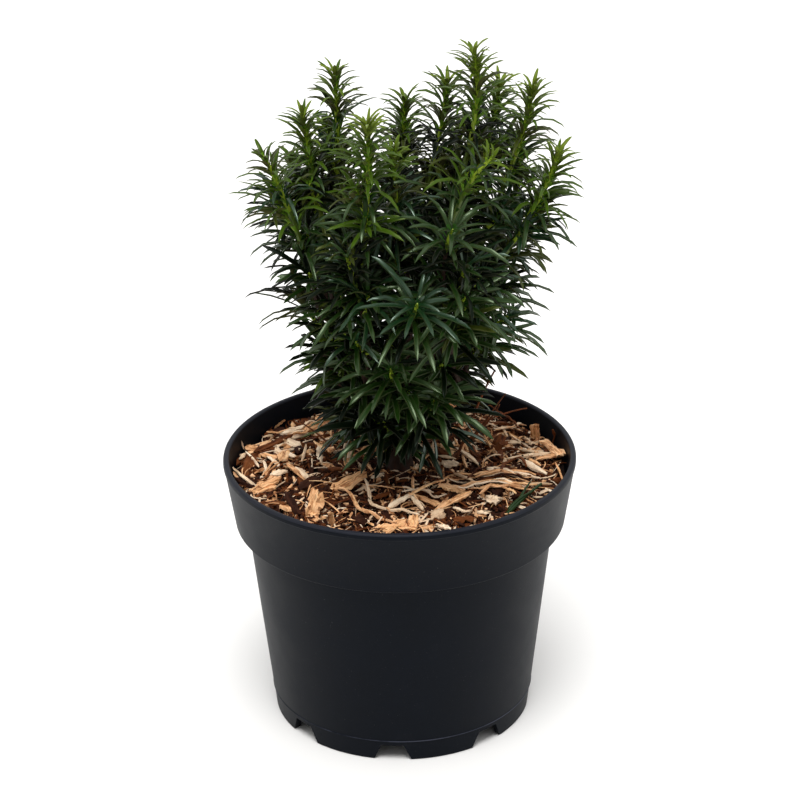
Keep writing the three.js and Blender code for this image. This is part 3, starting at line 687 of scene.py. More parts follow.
def pot_profile(pot):
    """The pot's section as (radius, height) pairs, from the middle of its underside round to the
    middle of its floor."""
    body_slope = (pot.body_radius - pot.base_radius) / pot.band_z
    seam_z = pot.foot_height + pot.seam_rise
    seam_radius = pot.base_radius + body_slope * seam_z
    lip_z = pot.height - pot.lip_depth
    band_slope = (pot.rim_radius - pot.lip_step - pot.band_radius) / (lip_z - pot.band_z)
    inner_top = pot.rim_radius - pot.lip_width
    shelf_z = pot.band_z + pot.wall
    floor_z = pot.foot_height + pot.wall
    inner_foot = pot.band_radius + band_slope * pot.wall - pot.wall
    inner_base = pot.base_radius - pot.foot_width
    profile = [(0, pot.foot_height), (inner_base, pot.foot_height), (inner_base, 0)]
    profile += [(pot.base_radius - FOOT_EDGE, 0), (pot.base_radius, FOOT_EDGE)]
    profile += [(seam_radius - pot.seam, seam_z - SEAM_EDGE)]
    profile += [(seam_radius + pot.seam, seam_z - SEAM_HALF)]
    profile += [(seam_radius + pot.seam, seam_z + SEAM_HALF)]
    profile += [(seam_radius + body_slope * SEAM_RETURN, seam_z + SEAM_RETURN)]
    profile += rounded((pot.body_radius + NECK_ROUND, pot.band_z - NECK_ROUND), NECK_ROUND, 180, 90)
    profile += rounded((pot.band_radius - BAND_ROUND, pot.band_z + BAND_ROUND), BAND_ROUND, -90, 0)
    profile += [(pot.rim_radius - pot.lip_step, lip_z - LIP_UNDERCUT)]
    profile += rounded((pot.rim_radius - LIP_ROUND, lip_z + LIP_ROUND), LIP_ROUND, -60, 0, 3)
    profile += rounded((pot.rim_radius - RIM_ROUND, pot.height - RIM_ROUND), RIM_ROUND, 0, 90)
    profile += rounded((inner_top + RIM_INNER_ROUND, pot.height - RIM_INNER_ROUND), RIM_INNER_ROUND, 90, 180)
    profile += [(inner_foot, shelf_z), (pot.body_radius - pot.wall, pot.band_z - pot.wall)]
    profile += [(pot.base_radius + body_slope * floor_z - pot.wall, floor_z), (0, floor_z)]
    return profile


def lathe(profile, sides):
    """Vertices and faces of a closed solid of revolution whose profile starts and ends on the axis."""
    turns = 2 * math.pi * np.arange(sides) / sides
    rings = profile[1:-1]
    vertices = [(r * math.cos(turn), r * math.sin(turn), z) for r, z in rings for turn in turns]
    vertices += [(0, 0, profile[0][1]), (0, 0, profile[-1][1])]
    return np.array([vertices]), strip_faces(len(rings), sides, True)


def notch_cutter(pot):
    """One mesh of wedges that cut the foot's notches."""
    top = pot.foot_height - NOTCH_ROOM
    below = -2 * MM
    outline = [(-pot.notch_foot / 2, below), (pot.notch_foot / 2, below)]
    outline += [(pot.notch_top / 2, top), (-pot.notch_top / 2, top)]
    inner, outer = pot.base_radius - 3 * pot.foot_width, pot.base_radius + 3 * pot.foot_width
    bodies = []
    for order in range(pot.notches):
        turn = pot.notch_turn + 2 * math.pi * order / pot.notches
        away = np.array([math.cos(turn), math.sin(turn), 0])
        along = np.array([-math.sin(turn), math.cos(turn), 0])
        bodies.append([away * reach + along * x + UP * z for reach in (inner, outer) for x, z in outline])
    return mesh_of("notches", np.array(bodies), strip_faces(2, 4, False))


def cut(mesh, cutter):
    """The mesh with the cutter's shape taken out of it."""
    base = bpy.data.objects.new("cut_base", mesh)
    tool = bpy.data.objects.new("cut_tool", cutter)
    for item in (base, tool):
        bpy.context.scene.collection.objects.link(item)
    modifier = base.modifiers.new("cut", "BOOLEAN")
    modifier.operation = "DIFFERENCE"
    modifier.solver = "EXACT"
    modifier.object = tool
    made = bpy.data.meshes.new_from_object(base.evaluated_get(bpy.context.evaluated_depsgraph_get()))
    for item in (base, tool):
        bpy.data.objects.remove(item)
    if not made.polygons:
        raise RuntimeError("Nothing is left of the mesh that was cut")
    return made


class YEW_OT_pot(bpy.types.Operator):
    """Make the nursery pot with its lip, band, seam and notched foot"""

    bl_idname = "yew.pot"
    bl_label = "Pot"

    def execute(self, context):
        pot = context.scene.yew_pot
        mesh = cut(mesh_of("pot_body", *lathe(pot_profile(pot), POT_SIDES)), notch_cutter(pot))
        smooth(mesh, degrees=32)
        add_piece("nursery_pot", mesh, [plastic_finish(pot)], ["pot"])
        return {"FINISHED"}


# Mulch


BED_DEPTH = 9 * MM  # how far the bed goes down below the mulch's edge
BED_SIDES = 200
BED_RINGS = 64
BED_MIDDLE = 1.5 * MM  # radius of its innermost ring
BED_SINK = 1.0 * MM  # how far below the heaped chips the compost lies
CLOD_HEIGHT = 1.5 * MM  # height of its clods
CLOD_SCALE = 190  # how closely they lie
CLOD_NOISE = (0.7, 2.2, 5)  # dimension, lacunarity and octaves
HEAP = 1.3 * MM  # how high the chips are heaped on the whole


def inner_radius(pot, z):
    """Radius of the band's inner face at a height."""
    foot = pot.band_z + pot.wall
    amount = (z - foot) / (pot.height - foot)
    return mix(pot.band_radius - 0.8 * pot.wall, pot.rim_radius - pot.lip_width, amount)


def mulch_level(pot, mulch, radius):
    """Height of the mulch before its relief, a low mound that falls towards the wall."""
    outer = inner_radius(pot, mulch.edge_z)
    amount = np.maximum(0, (radius - mulch.crown_radius) / (outer - mulch.crown_radius))
    return mix(mulch.top_z, mulch.edge_z, np.minimum(amount, 1.2) ** 2)


def mulch_relief(mulch, x, y):
    """Low humps, coarse ones with finer ones on them."""
    coarse = np.sin(x * 190 + 1.3) * np.cos(y * 170 - 0.4)
    fine = np.sin(x * 470 - y * 310) * np.cos(y * 530 + x * 220)
    return mulch.relief * (0.6 * coarse + 0.4 * fine)


def mulch_surface(pot, mulch, x, y):
    """Height of the mulch with its humps."""
    return mulch_level(pot, mulch, np.hypot(x, y)) + mulch_relief(mulch, x, y)


def heap(x, y):
    """How far the chips are heaped above the mulch's own surface."""
    broad = np.sin(x * 74 + 0.6) * np.cos(y * 83 - 1.1)
    return HEAP * (1 + 0.7 * broad + 0.3 * np.sin(x * 190 - y * 160))


def on_mulch(pot, mulch, x, y, lift):
    """Points at a height above the heaped surface."""
    return np.stack([x, y, mulch_surface(pot, mulch, x, y) + heap(x, y) + lift], -1)


def scattered(random, number, wall, from_wall, nearest):
    """Places spread evenly over the mulch, clear of the wall and of the middle."""
    radius = np.sqrt(random.uniform(nearest**2, (wall - from_wall) ** 2, number))
    turn = random.uniform(0, 2 * math.pi, number)
    return radius * np.cos(turn), radius * np.sin(turn)


class YEW_OT_mulch_bed(bpy.types.Operator):
    """Make the compost bed under the chips"""

    bl_idname = "yew.mulch_bed"
    bl_label = "Mulch bed"

    def execute(self, context):
        pot, mulch = context.scene.yew_pot, context.scene.yew_mulch
        outer = inner_radius(pot, mulch.edge_z) - GAP
        profile = [(0, mulch.edge_z - BED_DEPTH), (outer - MM, mulch.edge_z - BED_DEPTH)]
        profile += [(radius, mulch.edge_z) for radius in np.linspace(outer, BED_MIDDLE, BED_RINGS)]
        profile += [(0, mulch.edge_z)]
        vertices, faces = lathe(profile, BED_SIDES)
        top = vertices[0, :, 2] > mulch.edge_z - BED_DEPTH / 2
        for place, is_top in zip(vertices[0], top):
            if is_top:
                clod = noise.fractal(Vector(place) * CLOD_SCALE, *CLOD_NOISE)
                ground = mulch_surface(pot, mulch, place[0], place[1]) + heap(place[0], place[1])
                place[2] = ground - BED_SINK + clod * CLOD_HEIGHT
        mesh = mesh_of("mulch_bed", vertices, faces)
        smooth(mesh, degrees=60)
        add_piece("mulch_bed", mesh, [soil_finish(tuple(mulch.soil))], ["mulch"])
        return {"FINISHED"}


# Wood chips


def inside_wall(pot, vertices, margin=0.6 * MM):
    """Vertices drawn in where they would pass the pot's inner face."""
    radius = np.hypot(vertices[..., 0], vertices[..., 1])
    limit = inner_radius(pot, vertices[..., 2]) - margin
    scale = np.minimum(1, limit / np.maximum(radius, 1e-9))
    return vertices * np.stack([scale, scale, np.ones_like(scale)], -1)


CHIP_SECTION = [(1, -0.7), (0.94, 0.6), (0.4, 1.0), (0.05, 0.7), (-0.4, 1.05), (-0.93, 0.55), (-1, -0.8)]
CHIP_ROUGHNESS = 0.04  # how far a chip's corners stray, as a share of its width
CHIP_RAGGEDNESS = 0.13  # how far its ends stray along the grain
CHIP_RAGGED_MOST = 1.2 * MM  # and the most that they do
CHIP_TWIST = 0.12  # how far it twists from station to station, in radians
CHIP_TAPERING = (1.5, 6)  # from narrowing all along to narrowing just at its ends
CHIP_BREADTHS = (0.78, 1.14)  # how unevenly wide it is
CHIP_DEPTHS = (0.7, 1.15)  # and how unevenly thick


def splinters(random, centres, widths, thickness, taper, roll):
    """Split wood along (pieces, stations, 3) centre lines, ragged and tapered in its own way."""
    number, stations = centres.shape[:2]
    along = unit(np.gradient(centres, axis=1))
    level = unit(np.cross(UP, along) + 1e-9)
    tilt = (roll[:, None] + random.normal(0, CHIP_TWIST, (number, stations)))[..., None]
    across = level * np.cos(tilt) + np.cross(along, level) * np.sin(tilt)
    amount = np.abs(np.linspace(-1, 1, stations))
    narrowing = 1 - taper[:, None] * amount ** random.uniform(*CHIP_TAPERING, (number, 1))
    breadth = widths[:, None] / 2 * narrowing * random.uniform(*CHIP_BREADTHS, (number, stations))
    depth = thickness[:, None] / 2 * narrowing**0.5 * random.uniform(*CHIP_DEPTHS, (number, stations))
    up = np.cross(along, across)
    vertices = strip_points(centres, across, up, breadth, depth, CHIP_SECTION, False)
    corners = vertices.reshape(number, stations, len(CHIP_SECTION), 3)
    corners += random.normal(0, CHIP_ROUGHNESS, corners.shape) * widths[:, None, None, None]
    for end in (0, -1):
        ragged = random.normal(0, CHIP_RAGGEDNESS, (number, len(CHIP_SECTION), 1)) * widths[:, None, None]
        corners[:, end] += along[:, end, None] * np.clip(ragged, -CHIP_RAGGED_MOST, CHIP_RAGGED_MOST)
    lengths = np.linalg.norm(centres[:, -1] - centres[:, 0], axis=-1)
    grain = np.zeros((number, stations, len(CHIP_SECTION), 2))
    grain[..., 0] = (lengths[:, None] * np.linspace(0, 1, stations))[..., None]
    grain[..., 1] = breadth[..., None] * np.array([corner[0] for corner in CHIP_SECTION])
    grain += random.uniform(0, 4, (number, 1, 1, 2))
    return vertices, grain.reshape(number, -1, 2)


def lines_between(random, starts, ends, bow, stations):
    """Centre lines from starts to ends that bow a little up and sideways."""
    amount = np.linspace(0, 1, stations)[None, :, None]
    lines = mix(starts[:, None], ends[:, None], amount)
    lengths = np.linalg.norm(ends - starts, axis=-1)[:, None]
    side = unit(np.cross(UP, ends - starts) + 1e-9)
    bulge = amount * (1 - amount) * 4
    lines = lines + bulge * (side * random.normal(0, 1, (len(starts), 1)) * bow * lengths)[:, None]
    return lines + bulge * (UP * np.abs(random.normal(0, 0.5, (len(starts), 1))) * bow * lengths)[:, None]


# The largest pieces lie where they fell. Each has its two ends, across and back from the pot's
# middle and above the mulch, its width and its thickness, all in millimetres, its wood, and how
# far it narrows towards its ends, from 0 to 1.
Chip = namedtuple("Chip", "x0 y0 z0 x1 y1 z1 wide thick wood taper")
CHIPS = [Chip(*row) for row in [
    (-47, -52, 1, -43, -47, 13, 8.8, 4.0, "tan", 0.15),
    (-66, 21, 3, -57, 11, 3, 4.4, 1.2, "cream", 0.6),
    (-56, -3, 4, -49, -17, 3, 3.0, 1.2, "cream", 0.6),
    (-90, 0, 5, -77, -19, 3, 2.4, 1.0, "cream", 0.8),
    (-90, -1, 3, -87, -8, 3, 2.0, 1.0, "tan", 0.6),
    (-80, -22, 2, -64, -13, 4, 6.0, 1.6, "tan", 0.7),
    (-79, -22, 2, -66, -19, 3, 5.6, 1.4, "tan", 0.5),
    (-83, -1, 2, -80, 12, 4, 7.3, 1.8, "russet", 0.3),
    (-84, 17, 5, -76, 2, 4, 1.5, 0.9, "cream", 0.8),
    (-79, 19, 3, -59, 39, 4, 3.8, 1.2, "russet", 0.7),
    (-72, 12, 4, -65, -2, 4, 2.0, 0.9, "cream", 0.8),
    (-74, 7, 4, -72, -4, 4, 1.7, 0.9, "cream", 0.7),
    (-69, -9, 4, -61, -7, 4, 4.7, 1.2, "cream", 0.6),
    (-61, 0, 4, -51, -16, 3, 3.2, 1.3, "tan", 0.7),
    (-51, 24, 4, -53, 5, 3, 1.7, 1.2, "cream", 0.6),
    (-47, 29, 4, -38, 18, 3, 2.4, 1.1, "tan", 0.7),
    (-43, 29, 4, -34, 31, 4, 2.2, 0.9, "cream", 0.8),
    (-53, -25, 3, -44, -19, 4, 6.9, 2.6, "bark", 0.5),
    (-60, -34, 5, -53, -53, 2, 4.3, 2.6, "bark", 0.5),
    (-87, -4, 1, -77, -18, 2, 8.4, 2.6, "bark", 0.5),
    (-75, -34, 2, -60, -42, 3, 4.4, 2.0, "russet", 0.3),
    (-63, -40, 2, -58, -48, 3, 4.5, 2.2, "tan", 0.3),
    (-46, -58, 2, -39, -56, 3, 3.3, 1.2, "tan", 0.7),
    (-35, -61, 0, -36, -64, 11, 4.2, 1.6, "tan", 0.85),
    (-33, -66, 2, -26, -66, 2, 5.0, 1.8, "russet", 0.5),
    (-36, -30, 3, -19, -19, 6, 8.3, 2.6, "tan", 0.45),
    (-13, -38, 3, -6, -34, 3, 3.7, 1.4, "russet", 0.5),
    (-6, -51, 4, 6, -39, 4, 3.8, 1.3, "cream", 0.6),
    (-10, -70, 2, 3, -67, 4, 6.1, 1.8, "tan", 0.5),
    (-16, -69, 2, -7, -66, 3, 2.6, 1.0, "tan", 0.8),
    (-35, -45, 4, -27, -42, 4, 1.3, 0.8, "russet", 0.8),
    (-87, 13, 4, -84, 15, 5, 2.5, 0.9, "cream", 0.7),
    (-88, 29, 3, -90, 28, 9, 2.2, 0.8, "cream", 0.8),
    (-77, 63, 3, -65, 64, 4, 3.6, 1.2, "tan", 0.6),
    (79, 28, 5, 88, 6, 8, 7.7, 2.0, "tan", 0.15),
    (75, 36, 2, 74, 31, 13, 4.7, 1.8, "tan", 0.1),
    (87, 34, 2, 84, 28, 12, 1.7, 1.2, "russet", 0.5),
    (58, 7, 4, 82, 12, 5, 3.1, 1.2, "cream", 0.8),
    (74, 6, 3, 91, 9, 6, 3.3, 1.2, "tan", 0.7),
    (65, 2, 5, 79, -9, 3, 3.8, 1.4, "cream", 0.5),
    (70, 7, 4, 76, 0, 3, 2.5, 1.2, "tan", 0.6),
    (56, 28, 3, 66, 26, 4, 3.3, 1.2, "cream", 0.6),
    (31, 15, 5, 43, -3, 3, 2.6, 1.2, "cream", 0.75),
    (34, 9, 3, 36, -6, 3, 1.8, 1.2, "tan", 0.6),
    (21, 7, 4, 30, 3, 4, 2.4, 0.9, "cream", 0.7),
    (24, 3, 3, 31, -4, 3, 6.7, 1.6, "cream", 0.4),
    (48, -8, 4, 60, -14, 4, 6.0, 1.6, "cream", 0.5),
    (29, -15, 5, 40, -22, 4, 3.0, 1.1, "cream", 0.75),
    (21, -27, 4, 34, -32, 3, 7.1, 1.6, "tan", 0.5),
    (5, -41, 5, 24, -23, 5, 2.1, 1.0, "tan", 0.6),
    (6, -43, 5, 12, -53, 3, 2.9, 1.2, "cream", 0.6),
    (8, -37, 3, 22, -50, 3, 4.2, 1.4, "tan", 0.6),
    (16, -59, 3, 25, -42, 5, 1.9, 1.1, "tan", 0.7),
    (20, -53, 3, 37, -38, 5, 4.2, 1.4, "tan", 0.6),
    (40, -52, 3, 47, -54, 3, 3.8, 1.3, "cream", 0.6),
    (16, -60, 3, 23, -58, 3, 7.8, 3.0, "cream", 0.2),
    (6, -70, 2, 7, -63, 5, 5.4, 4.0, "tan", 0.1),
    (9, -69, 2, 18, -68, 2, 4.7, 1.6, "tan", 0.6),
    (19, -66, 2, 26, -71, 3, 3.8, 1.3, "cream", 0.7),
    (-1, -70, 2, 8, -71, 2, 3.8, 1.4, "tan", 0.6),
    (46, -39, 3, 52, -43, 4, 7.8, 1.4, "cream", 0.3),
    (62, -12, 4, 69, -14, 4, 3.3, 1.1, "cream", 0.6),
    (66, -23, 4, 81, -24, 5, 2.0, 0.8, "cream", 0.8),
    (7, -16, 4, 7, -32, 3, 1.6, 1.2, "tan", 0.6),
    (84, 0, 6, 87, -15, 3, 1.2, 0.9, "tan", 0.8),
    (52, 19, 2, 56, 28, 7, 6.1, 2.6, "russet", 0.3),
    (-19, 5, 3, -15, -8, 3, 1.9, 1.0, "tan", 0.6),
    (-29, 0, 3, -26, 3, 4, 4.7, 2.2, "tan", 0.5),
    (-39, -3, 3, -27, -6, 3, 3.9, 1.2, "russet", 0.6),
    (-15, -18, 3, -8, -13, 3, 3.9, 1.4, "cream", 0.6),
    (1, 2, 3, 2, -5, 3, 1.7, 1.0, "tan", 0.6),
    (49, -35, 2, 58, -23, 3, 5.2, 2.4, "bark", 0.5),
    (57, -1, 1, 65, 0, 2, 8.9, 2.8, "bark", 0.5),
    (-25, -55, 1, -17, -61, 2, 8.4, 2.8, "bark", 0.5),
    (-72, 49, 1, -64, 54, 3, 7.7, 3.0, "bark", 0.5),
    (-60, 31, 1, -54, 18, 2, 6.4, 2.6, "bark", 0.4),
    (28, -62, 2, 38, -59, 3, 6.7, 2.0, "russet", 0.5),
    (24, -40, 1, 32, -48, 2, 4.4, 1.6, "bark", 0.5),
]]

# Thin roots and torn fibres that wind over the mulch: the points they pass, in millimetres, then
# their width and thickness, their wood, and how far they lie above the mulch.
Root = namedtuple("Root", "course wide thick wood lift")
ROOTS = [
    Root(((-32, -31), (-26, -37), (-21, -52), (-16, -58), (-7, -63), (-2, -68)), 2.1, 1.2, "tan", 4),
    Root(((-20, -20), (-16, -31), (-16, -47), (-13, -53), (-3, -51), (2, -55), (10, -60)), 1.9, 1.1,
         "cream", 4),
    Root(((-17, -31), (-10, -30), (-3, -33)), 0.8, 0.5, "tan", 5),
    Root(((42, -40), (47, -31), (51, -27), (56, -31), (61, -38)), 2.1, 0.9, "tan", 5),
    Root(((36, -21), (42, -11), (50, -1), (50, -4)), 1.3, 0.7, "russet", 5),
    Root(((28, -53), (31, -54), (34, -55), (37, -53)), 2.3, 0.9, "cream", 4),
    Root(((54, -16), (56, 0), (61, 6), (67, 1), (68, -6)), 2.0, 0.8, "russet", 5),
    Root(((50, 77), (56, 60), (62, 52), (67, 39)), 1.3, 0.7, "russet", 6),
]

# Bundles of torn fibre: both ends in millimetres, how many strands, and how far they spread.
Bundle = namedtuple("Bundle", "x0 y0 x1 y1 strands spread")
BUNDLES = [
    Bundle(26, -18, 74, -15, 15, 6.5),
    Bundle(34, -27, 70, -24, 9, 4.0),
    Bundle(50, 40, 66, 52, 7, 4.0),
    Bundle(-60, 42, -40, 52, 7, 3.5),
    Bundle(-20, 66, 12, 74, 9, 4.5),
    Bundle(-78, -14, -62, 2, 6, 4.0),
    Bundle(4, -30, 26, -36, 7, 4.0),
]

WOODS = ["cream", "tan", "russet", "bark"]

# Wood strewn at random: the setting for its number; the ranges of its length, width and thickness
# in millimetres; how high it lies in millimetres; how far it pitches and rolls in radians; how far
# it bows and tapers, as shares; the stations along it; whether it keeps to the back, where nothing
# is placed; and how much of it is of each wood.
Kind = namedtuple("Kind", "name setting long wide thick lift pitch roll bow taper stations behind woods")
KINDS = [
    Kind(
        name="flake", setting="flakes", long=(3, 10), wide=(2, 5), thick=(1.0, 2.6), lift=0.6,
        pitch=0.35, roll=0.5, bow=0.05, taper=(0.2, 0.7), stations=4, behind=False,
        woods=(0, 0.02, 0.3, 0.68),
    ),
    Kind(
        name="bit", setting="bits", long=(2, 9), wide=(0.7, 2.6), thick=(0.6, 1.5), lift=2.2,
        pitch=0.45, roll=0.6, bow=0.04, taper=(0.2, 0.8), stations=4, behind=False,
        woods=(0.2, 0.2, 0.26, 0.34),
    ),
    Kind(
        name="fibre", setting="fibres", long=(6, 20), wide=(0.35, 1.0), thick=(0.3, 0.6), lift=2.2,
        pitch=0.18, roll=0.5, bow=0.14, taper=(0.5, 0.9), stations=7, behind=False,
        woods=(0.12, 0.34, 0.36, 0.18),
    ),
    Kind(
        name="chip", setting="chips", long=(7, 20), wide=(2, 6), thick=(1.0, 2.2), lift=2.8,
        pitch=0.2, roll=0.3, bow=0.06, taper=(0.2, 0.8), stations=6, behind=True,
        woods=(0.18, 0.36, 0.3, 0.16),
    ),
    Kind(
        name="sliver", setting="slivers", long=(8, 22), wide=(0.9, 2.2), thick=(0.6, 1.2), lift=3.4,
        pitch=0.2, roll=0.4, bow=0.05, taper=(0.5, 0.9), stations=5, behind=True,
        woods=(0.34, 0.42, 0.2, 0.04),
    ),
]

LAID_STATIONS = 8
LAID_BOW = 0.03  # how far a placed chip bows, as a share of its length
LAID_ROLL = 0.15  # and how far it rolls, in radians
ROOT_STATIONS = 25
ROOT_BLUR = np.array([0.25, 0.5, 0.25])  # how its neighbours draw a root's point in
ROOT_BLURS = 6  # and how often they do
ROOT_SWELL = 0.8 * MM  # how far it rises and falls along it
ROOT_SWELLS = 260  # and how closely, in radians a metre
ROOT_TAPER = 0.55
STRAND_STATIONS = 13
STRAND_STARTS = (-0.1, 0.35)  # where a strand starts, as a share of its bundle's length
STRAND_ENDS = (0.6, 1.1)  # and where it ends
STRAND_SWAY = 1.6 * MM  # how far a bundle's strands wave from side to side together
STRAND_CURL = 0.5 * MM  # and each on its own
STRAND_SWELL = 0.6 * MM  # and up and down
STRAND_RISES = (2.2, 5.0)  # how high they lie, how wide and how thick they are, in millimetres
STRAND_WIDTHS = (0.7, 2.3)
STRAND_DEPTHS = (0.5, 1.1)
STRAND_TAPERS = (0.5, 0.85)
STRAND_ROLL = 0.3
STRAND_WOODS = (0.22, 0.5, 0.25, 0.03)
STREWN_RING = (3 * MM, 8 * MM)  # how far strewn wood keeps from the wall and from the middle
BEHIND_FROM = 12 * MM  # how far behind the middle the wood starts that keeps to the back
BEHIND_SHARE = 0.75  # and how close together it lies there, beside the rest


class YEW_OT_chips(bpy.types.Operator):
    """Lay the large chips, roots and fibres on the bed, and strew the small wood round them"""

    bl_idname = "yew.chips"
    bl_label = "Wood chips"

    def execute(self, context):
        pot, mulch = context.scene.yew_pot, context.scene.yew_mulch
        finishes = {
            "cream": wood_finish("cream_wood", tuple(mulch.cream), contrast=0.3, stained_by=0.45),
            "tan": wood_finish("tan_wood", tuple(mulch.tan), contrast=0.7, stained_by=0.9),
            "russet": wood_finish("russet_wood", tuple(mulch.russet), contrast=0.7, stained_by=0.9),
            "bark": wood_finish("bark_flakes", tuple(mulch.bark), contrast=0.6, roughness=0.9),
        }
        random = np.random.default_rng(CHIP_SEED)
        self.add_pieces(pot, "laid_chip", *self.laid(random, pot, mulch), finishes)
        self.add_pieces(pot, "root", *self.roots(random, pot, mulch), finishes)
        self.add_pieces(pot, "torn_fibre", *self.bundles(random, pot, mulch), finishes)
        for kind in KINDS:
            self.add_pieces(pot, kind.name, *self.strewn(random, pot, mulch, kind), finishes)
        return {"FINISHED"}

    def add_pieces(self, pot, name, vertices, grain, woods, finishes):
        """One object for each wood."""
        stations = vertices.shape[1] // len(CHIP_SECTION)
        faces = strip_faces(stations, len(CHIP_SECTION), False)
        for wood, finish in finishes.items():
            chosen = woods == wood
            if not chosen.any():
                continue
            mesh = mesh_of(name, inside_wall(pot, vertices[chosen]), faces)
            add_grain(mesh, grain[chosen])
            smooth(mesh, degrees=38)
            add_piece(f"{name}_{wood}", mesh, [finish])

    def laid(self, random, pot, mulch):
        """The placed chips."""
        ends = np.array([chip[:6] for chip in CHIPS], float) * MM
        starts = on_mulch(pot, mulch, *ends[:, :3].T)
        ends = on_mulch(pot, mulch, *ends[:, 3:].T)
        sizes = np.array([(chip.wide, chip.thick) for chip in CHIPS]) * MM
        lines = lines_between(random, starts, ends, LAID_BOW, LAID_STATIONS)
        taper = np.array([chip.taper for chip in CHIPS])
        roll = random.normal(0, LAID_ROLL, len(CHIPS))
        made = splinters(random, lines, *sizes.T, taper, roll)
        return *made, np.array([chip.wood for chip in CHIPS])

    def roots(self, random, pot, mulch):
        """The placed roots, smoothed along their courses."""
        lines = []
        for root in ROOTS:
            course = np.array(root.course, float) * MM
            steps = np.linalg.norm(np.diff(course, axis=0), axis=1)
            reach = np.concatenate(([0.0], np.cumsum(steps)))
            place = np.linspace(0, reach[-1], ROOT_STATIONS)
            x, y = (np.interp(place, reach, course[:, axis]) for axis in (0, 1))
            for _ in range(ROOT_BLURS):
                x[1:-1] = np.convolve(x, ROOT_BLUR, "valid")
                y[1:-1] = np.convolve(y, ROOT_BLUR, "valid")
            rise = root.lift * MM + ROOT_SWELL * np.sin(place * ROOT_SWELLS)
            lines.append(on_mulch(pot, mulch, x, y, rise))
        sizes = np.array([(root.wide, root.thick) for root in ROOTS]) * MM
        taper, roll = np.full(len(ROOTS), ROOT_TAPER), np.zeros(len(ROOTS))
        made = splinters(random, np.array(lines), *sizes.T, taper, roll)
        return *made, np.array([root.wood for root in ROOTS])

    def bundles(self, random, pot, mulch):
        """Wavy strands that lie side by side."""
        lines = []
        amount = np.linspace(0, 1, STRAND_STATIONS)
        for bundle in BUNDLES:
            starts, ends = np.array(bundle[:2]) * MM, np.array(bundle[2:4]) * MM
            side = unit(np.array([starts[1] - ends[1], ends[0] - starts[0]]))
            wave = random.uniform(0, 6)
            for strand in range(bundle.strands):
                shift = random.normal(0, 0.5) * bundle.spread * MM
                first, last = random.uniform(*STRAND_STARTS), random.uniform(*STRAND_ENDS)
                place = mix(first, last, amount)
                sway = STRAND_SWAY * np.sin(wave + place * 7) + STRAND_CURL * np.sin(strand + place * 17)
                x, y = (mix(starts[i], ends[i], place) + side[i] * (shift + sway) for i in (0, 1))
                swell = STRAND_SWELL * np.sin(place * 9 + strand)
                rise = random.uniform(*STRAND_RISES) * MM + swell
                lines.append(on_mulch(pot, mulch, x, y, rise))
        number = len(lines)
        widths = random.uniform(*STRAND_WIDTHS, number) * MM
        thickness = random.uniform(*STRAND_DEPTHS, number) * MM
        taper = random.uniform(*STRAND_TAPERS, number)
        roll = random.normal(0, STRAND_ROLL, number)
        made = splinters(random, np.array(lines), widths, thickness, taper, roll)
        return *made, random.choice(WOODS, number, p=STRAND_WOODS)

    def strewn(self, random, pot, mulch, kind):
        """Wood of one kind strewn at random; the largest only where none is placed."""
        number = getattr(mulch, kind.setting)
        lengths = random.uniform(*kind.long, number) * MM
        x, y = scattered(random, number, inner_radius(pot, mulch.edge_z), *STREWN_RING)
        if kind.behind:
            y = np.abs(y) * BEHIND_SHARE + BEHIND_FROM
        yaw = random.uniform(0, 2 * math.pi, number)
        half = np.stack([np.cos(yaw), np.sin(yaw)], -1) * (lengths / 2)[:, None]
        lift = random.uniform(0.1, 1, number) * kind.lift * MM
        pitch = random.normal(0, kind.pitch, number) * lengths / 2
        starts = on_mulch(pot, mulch, x - half[:, 0], y - half[:, 1], lift - pitch)
        ends = on_mulch(pot, mulch, x + half[:, 0], y + half[:, 1], lift + pitch)
        lines = lines_between(random, starts, ends, kind.bow, kind.stations)
        widths = random.uniform(*kind.wide, number) * MM
        thickness = random.uniform(*kind.thick, number) * MM
        taper = random.uniform(*kind.taper, number)
        roll = random.normal(0, kind.roll, number)
        made = splinters(random, lines, widths, thickness, taper, roll)
        return *made, random.choice(WOODS, number, p=kind.woods)


CRUMB_SECTION = [(1, 0.1), (0.3, 0.9), (-0.7, 0.7), (-0.9, -0.4), (0.2, -1)]
CRUMB_STATIONS = np.array([-1, -0.45, 0.4, 1.0])
CRUMB_RING = (2 * MM, 6 * MM)  # how far crumbs keep from the wall and from the middle
CRUMB_SIZES = (0.5, 1.9)  # half their length, in millimetres
CRUMB_BREADTHS = (0.4, 0.95)  # how broad and how thick they are, as shares of that
CRUMB_DEPTHS = (0.3, 0.8)
CRUMB_LIFTS = (-0.3, 1.4)  # how high they lie, in millimetres
PALE_CRUMBS = 0.16  # how many are crumbs of wood and not of bark, as a share


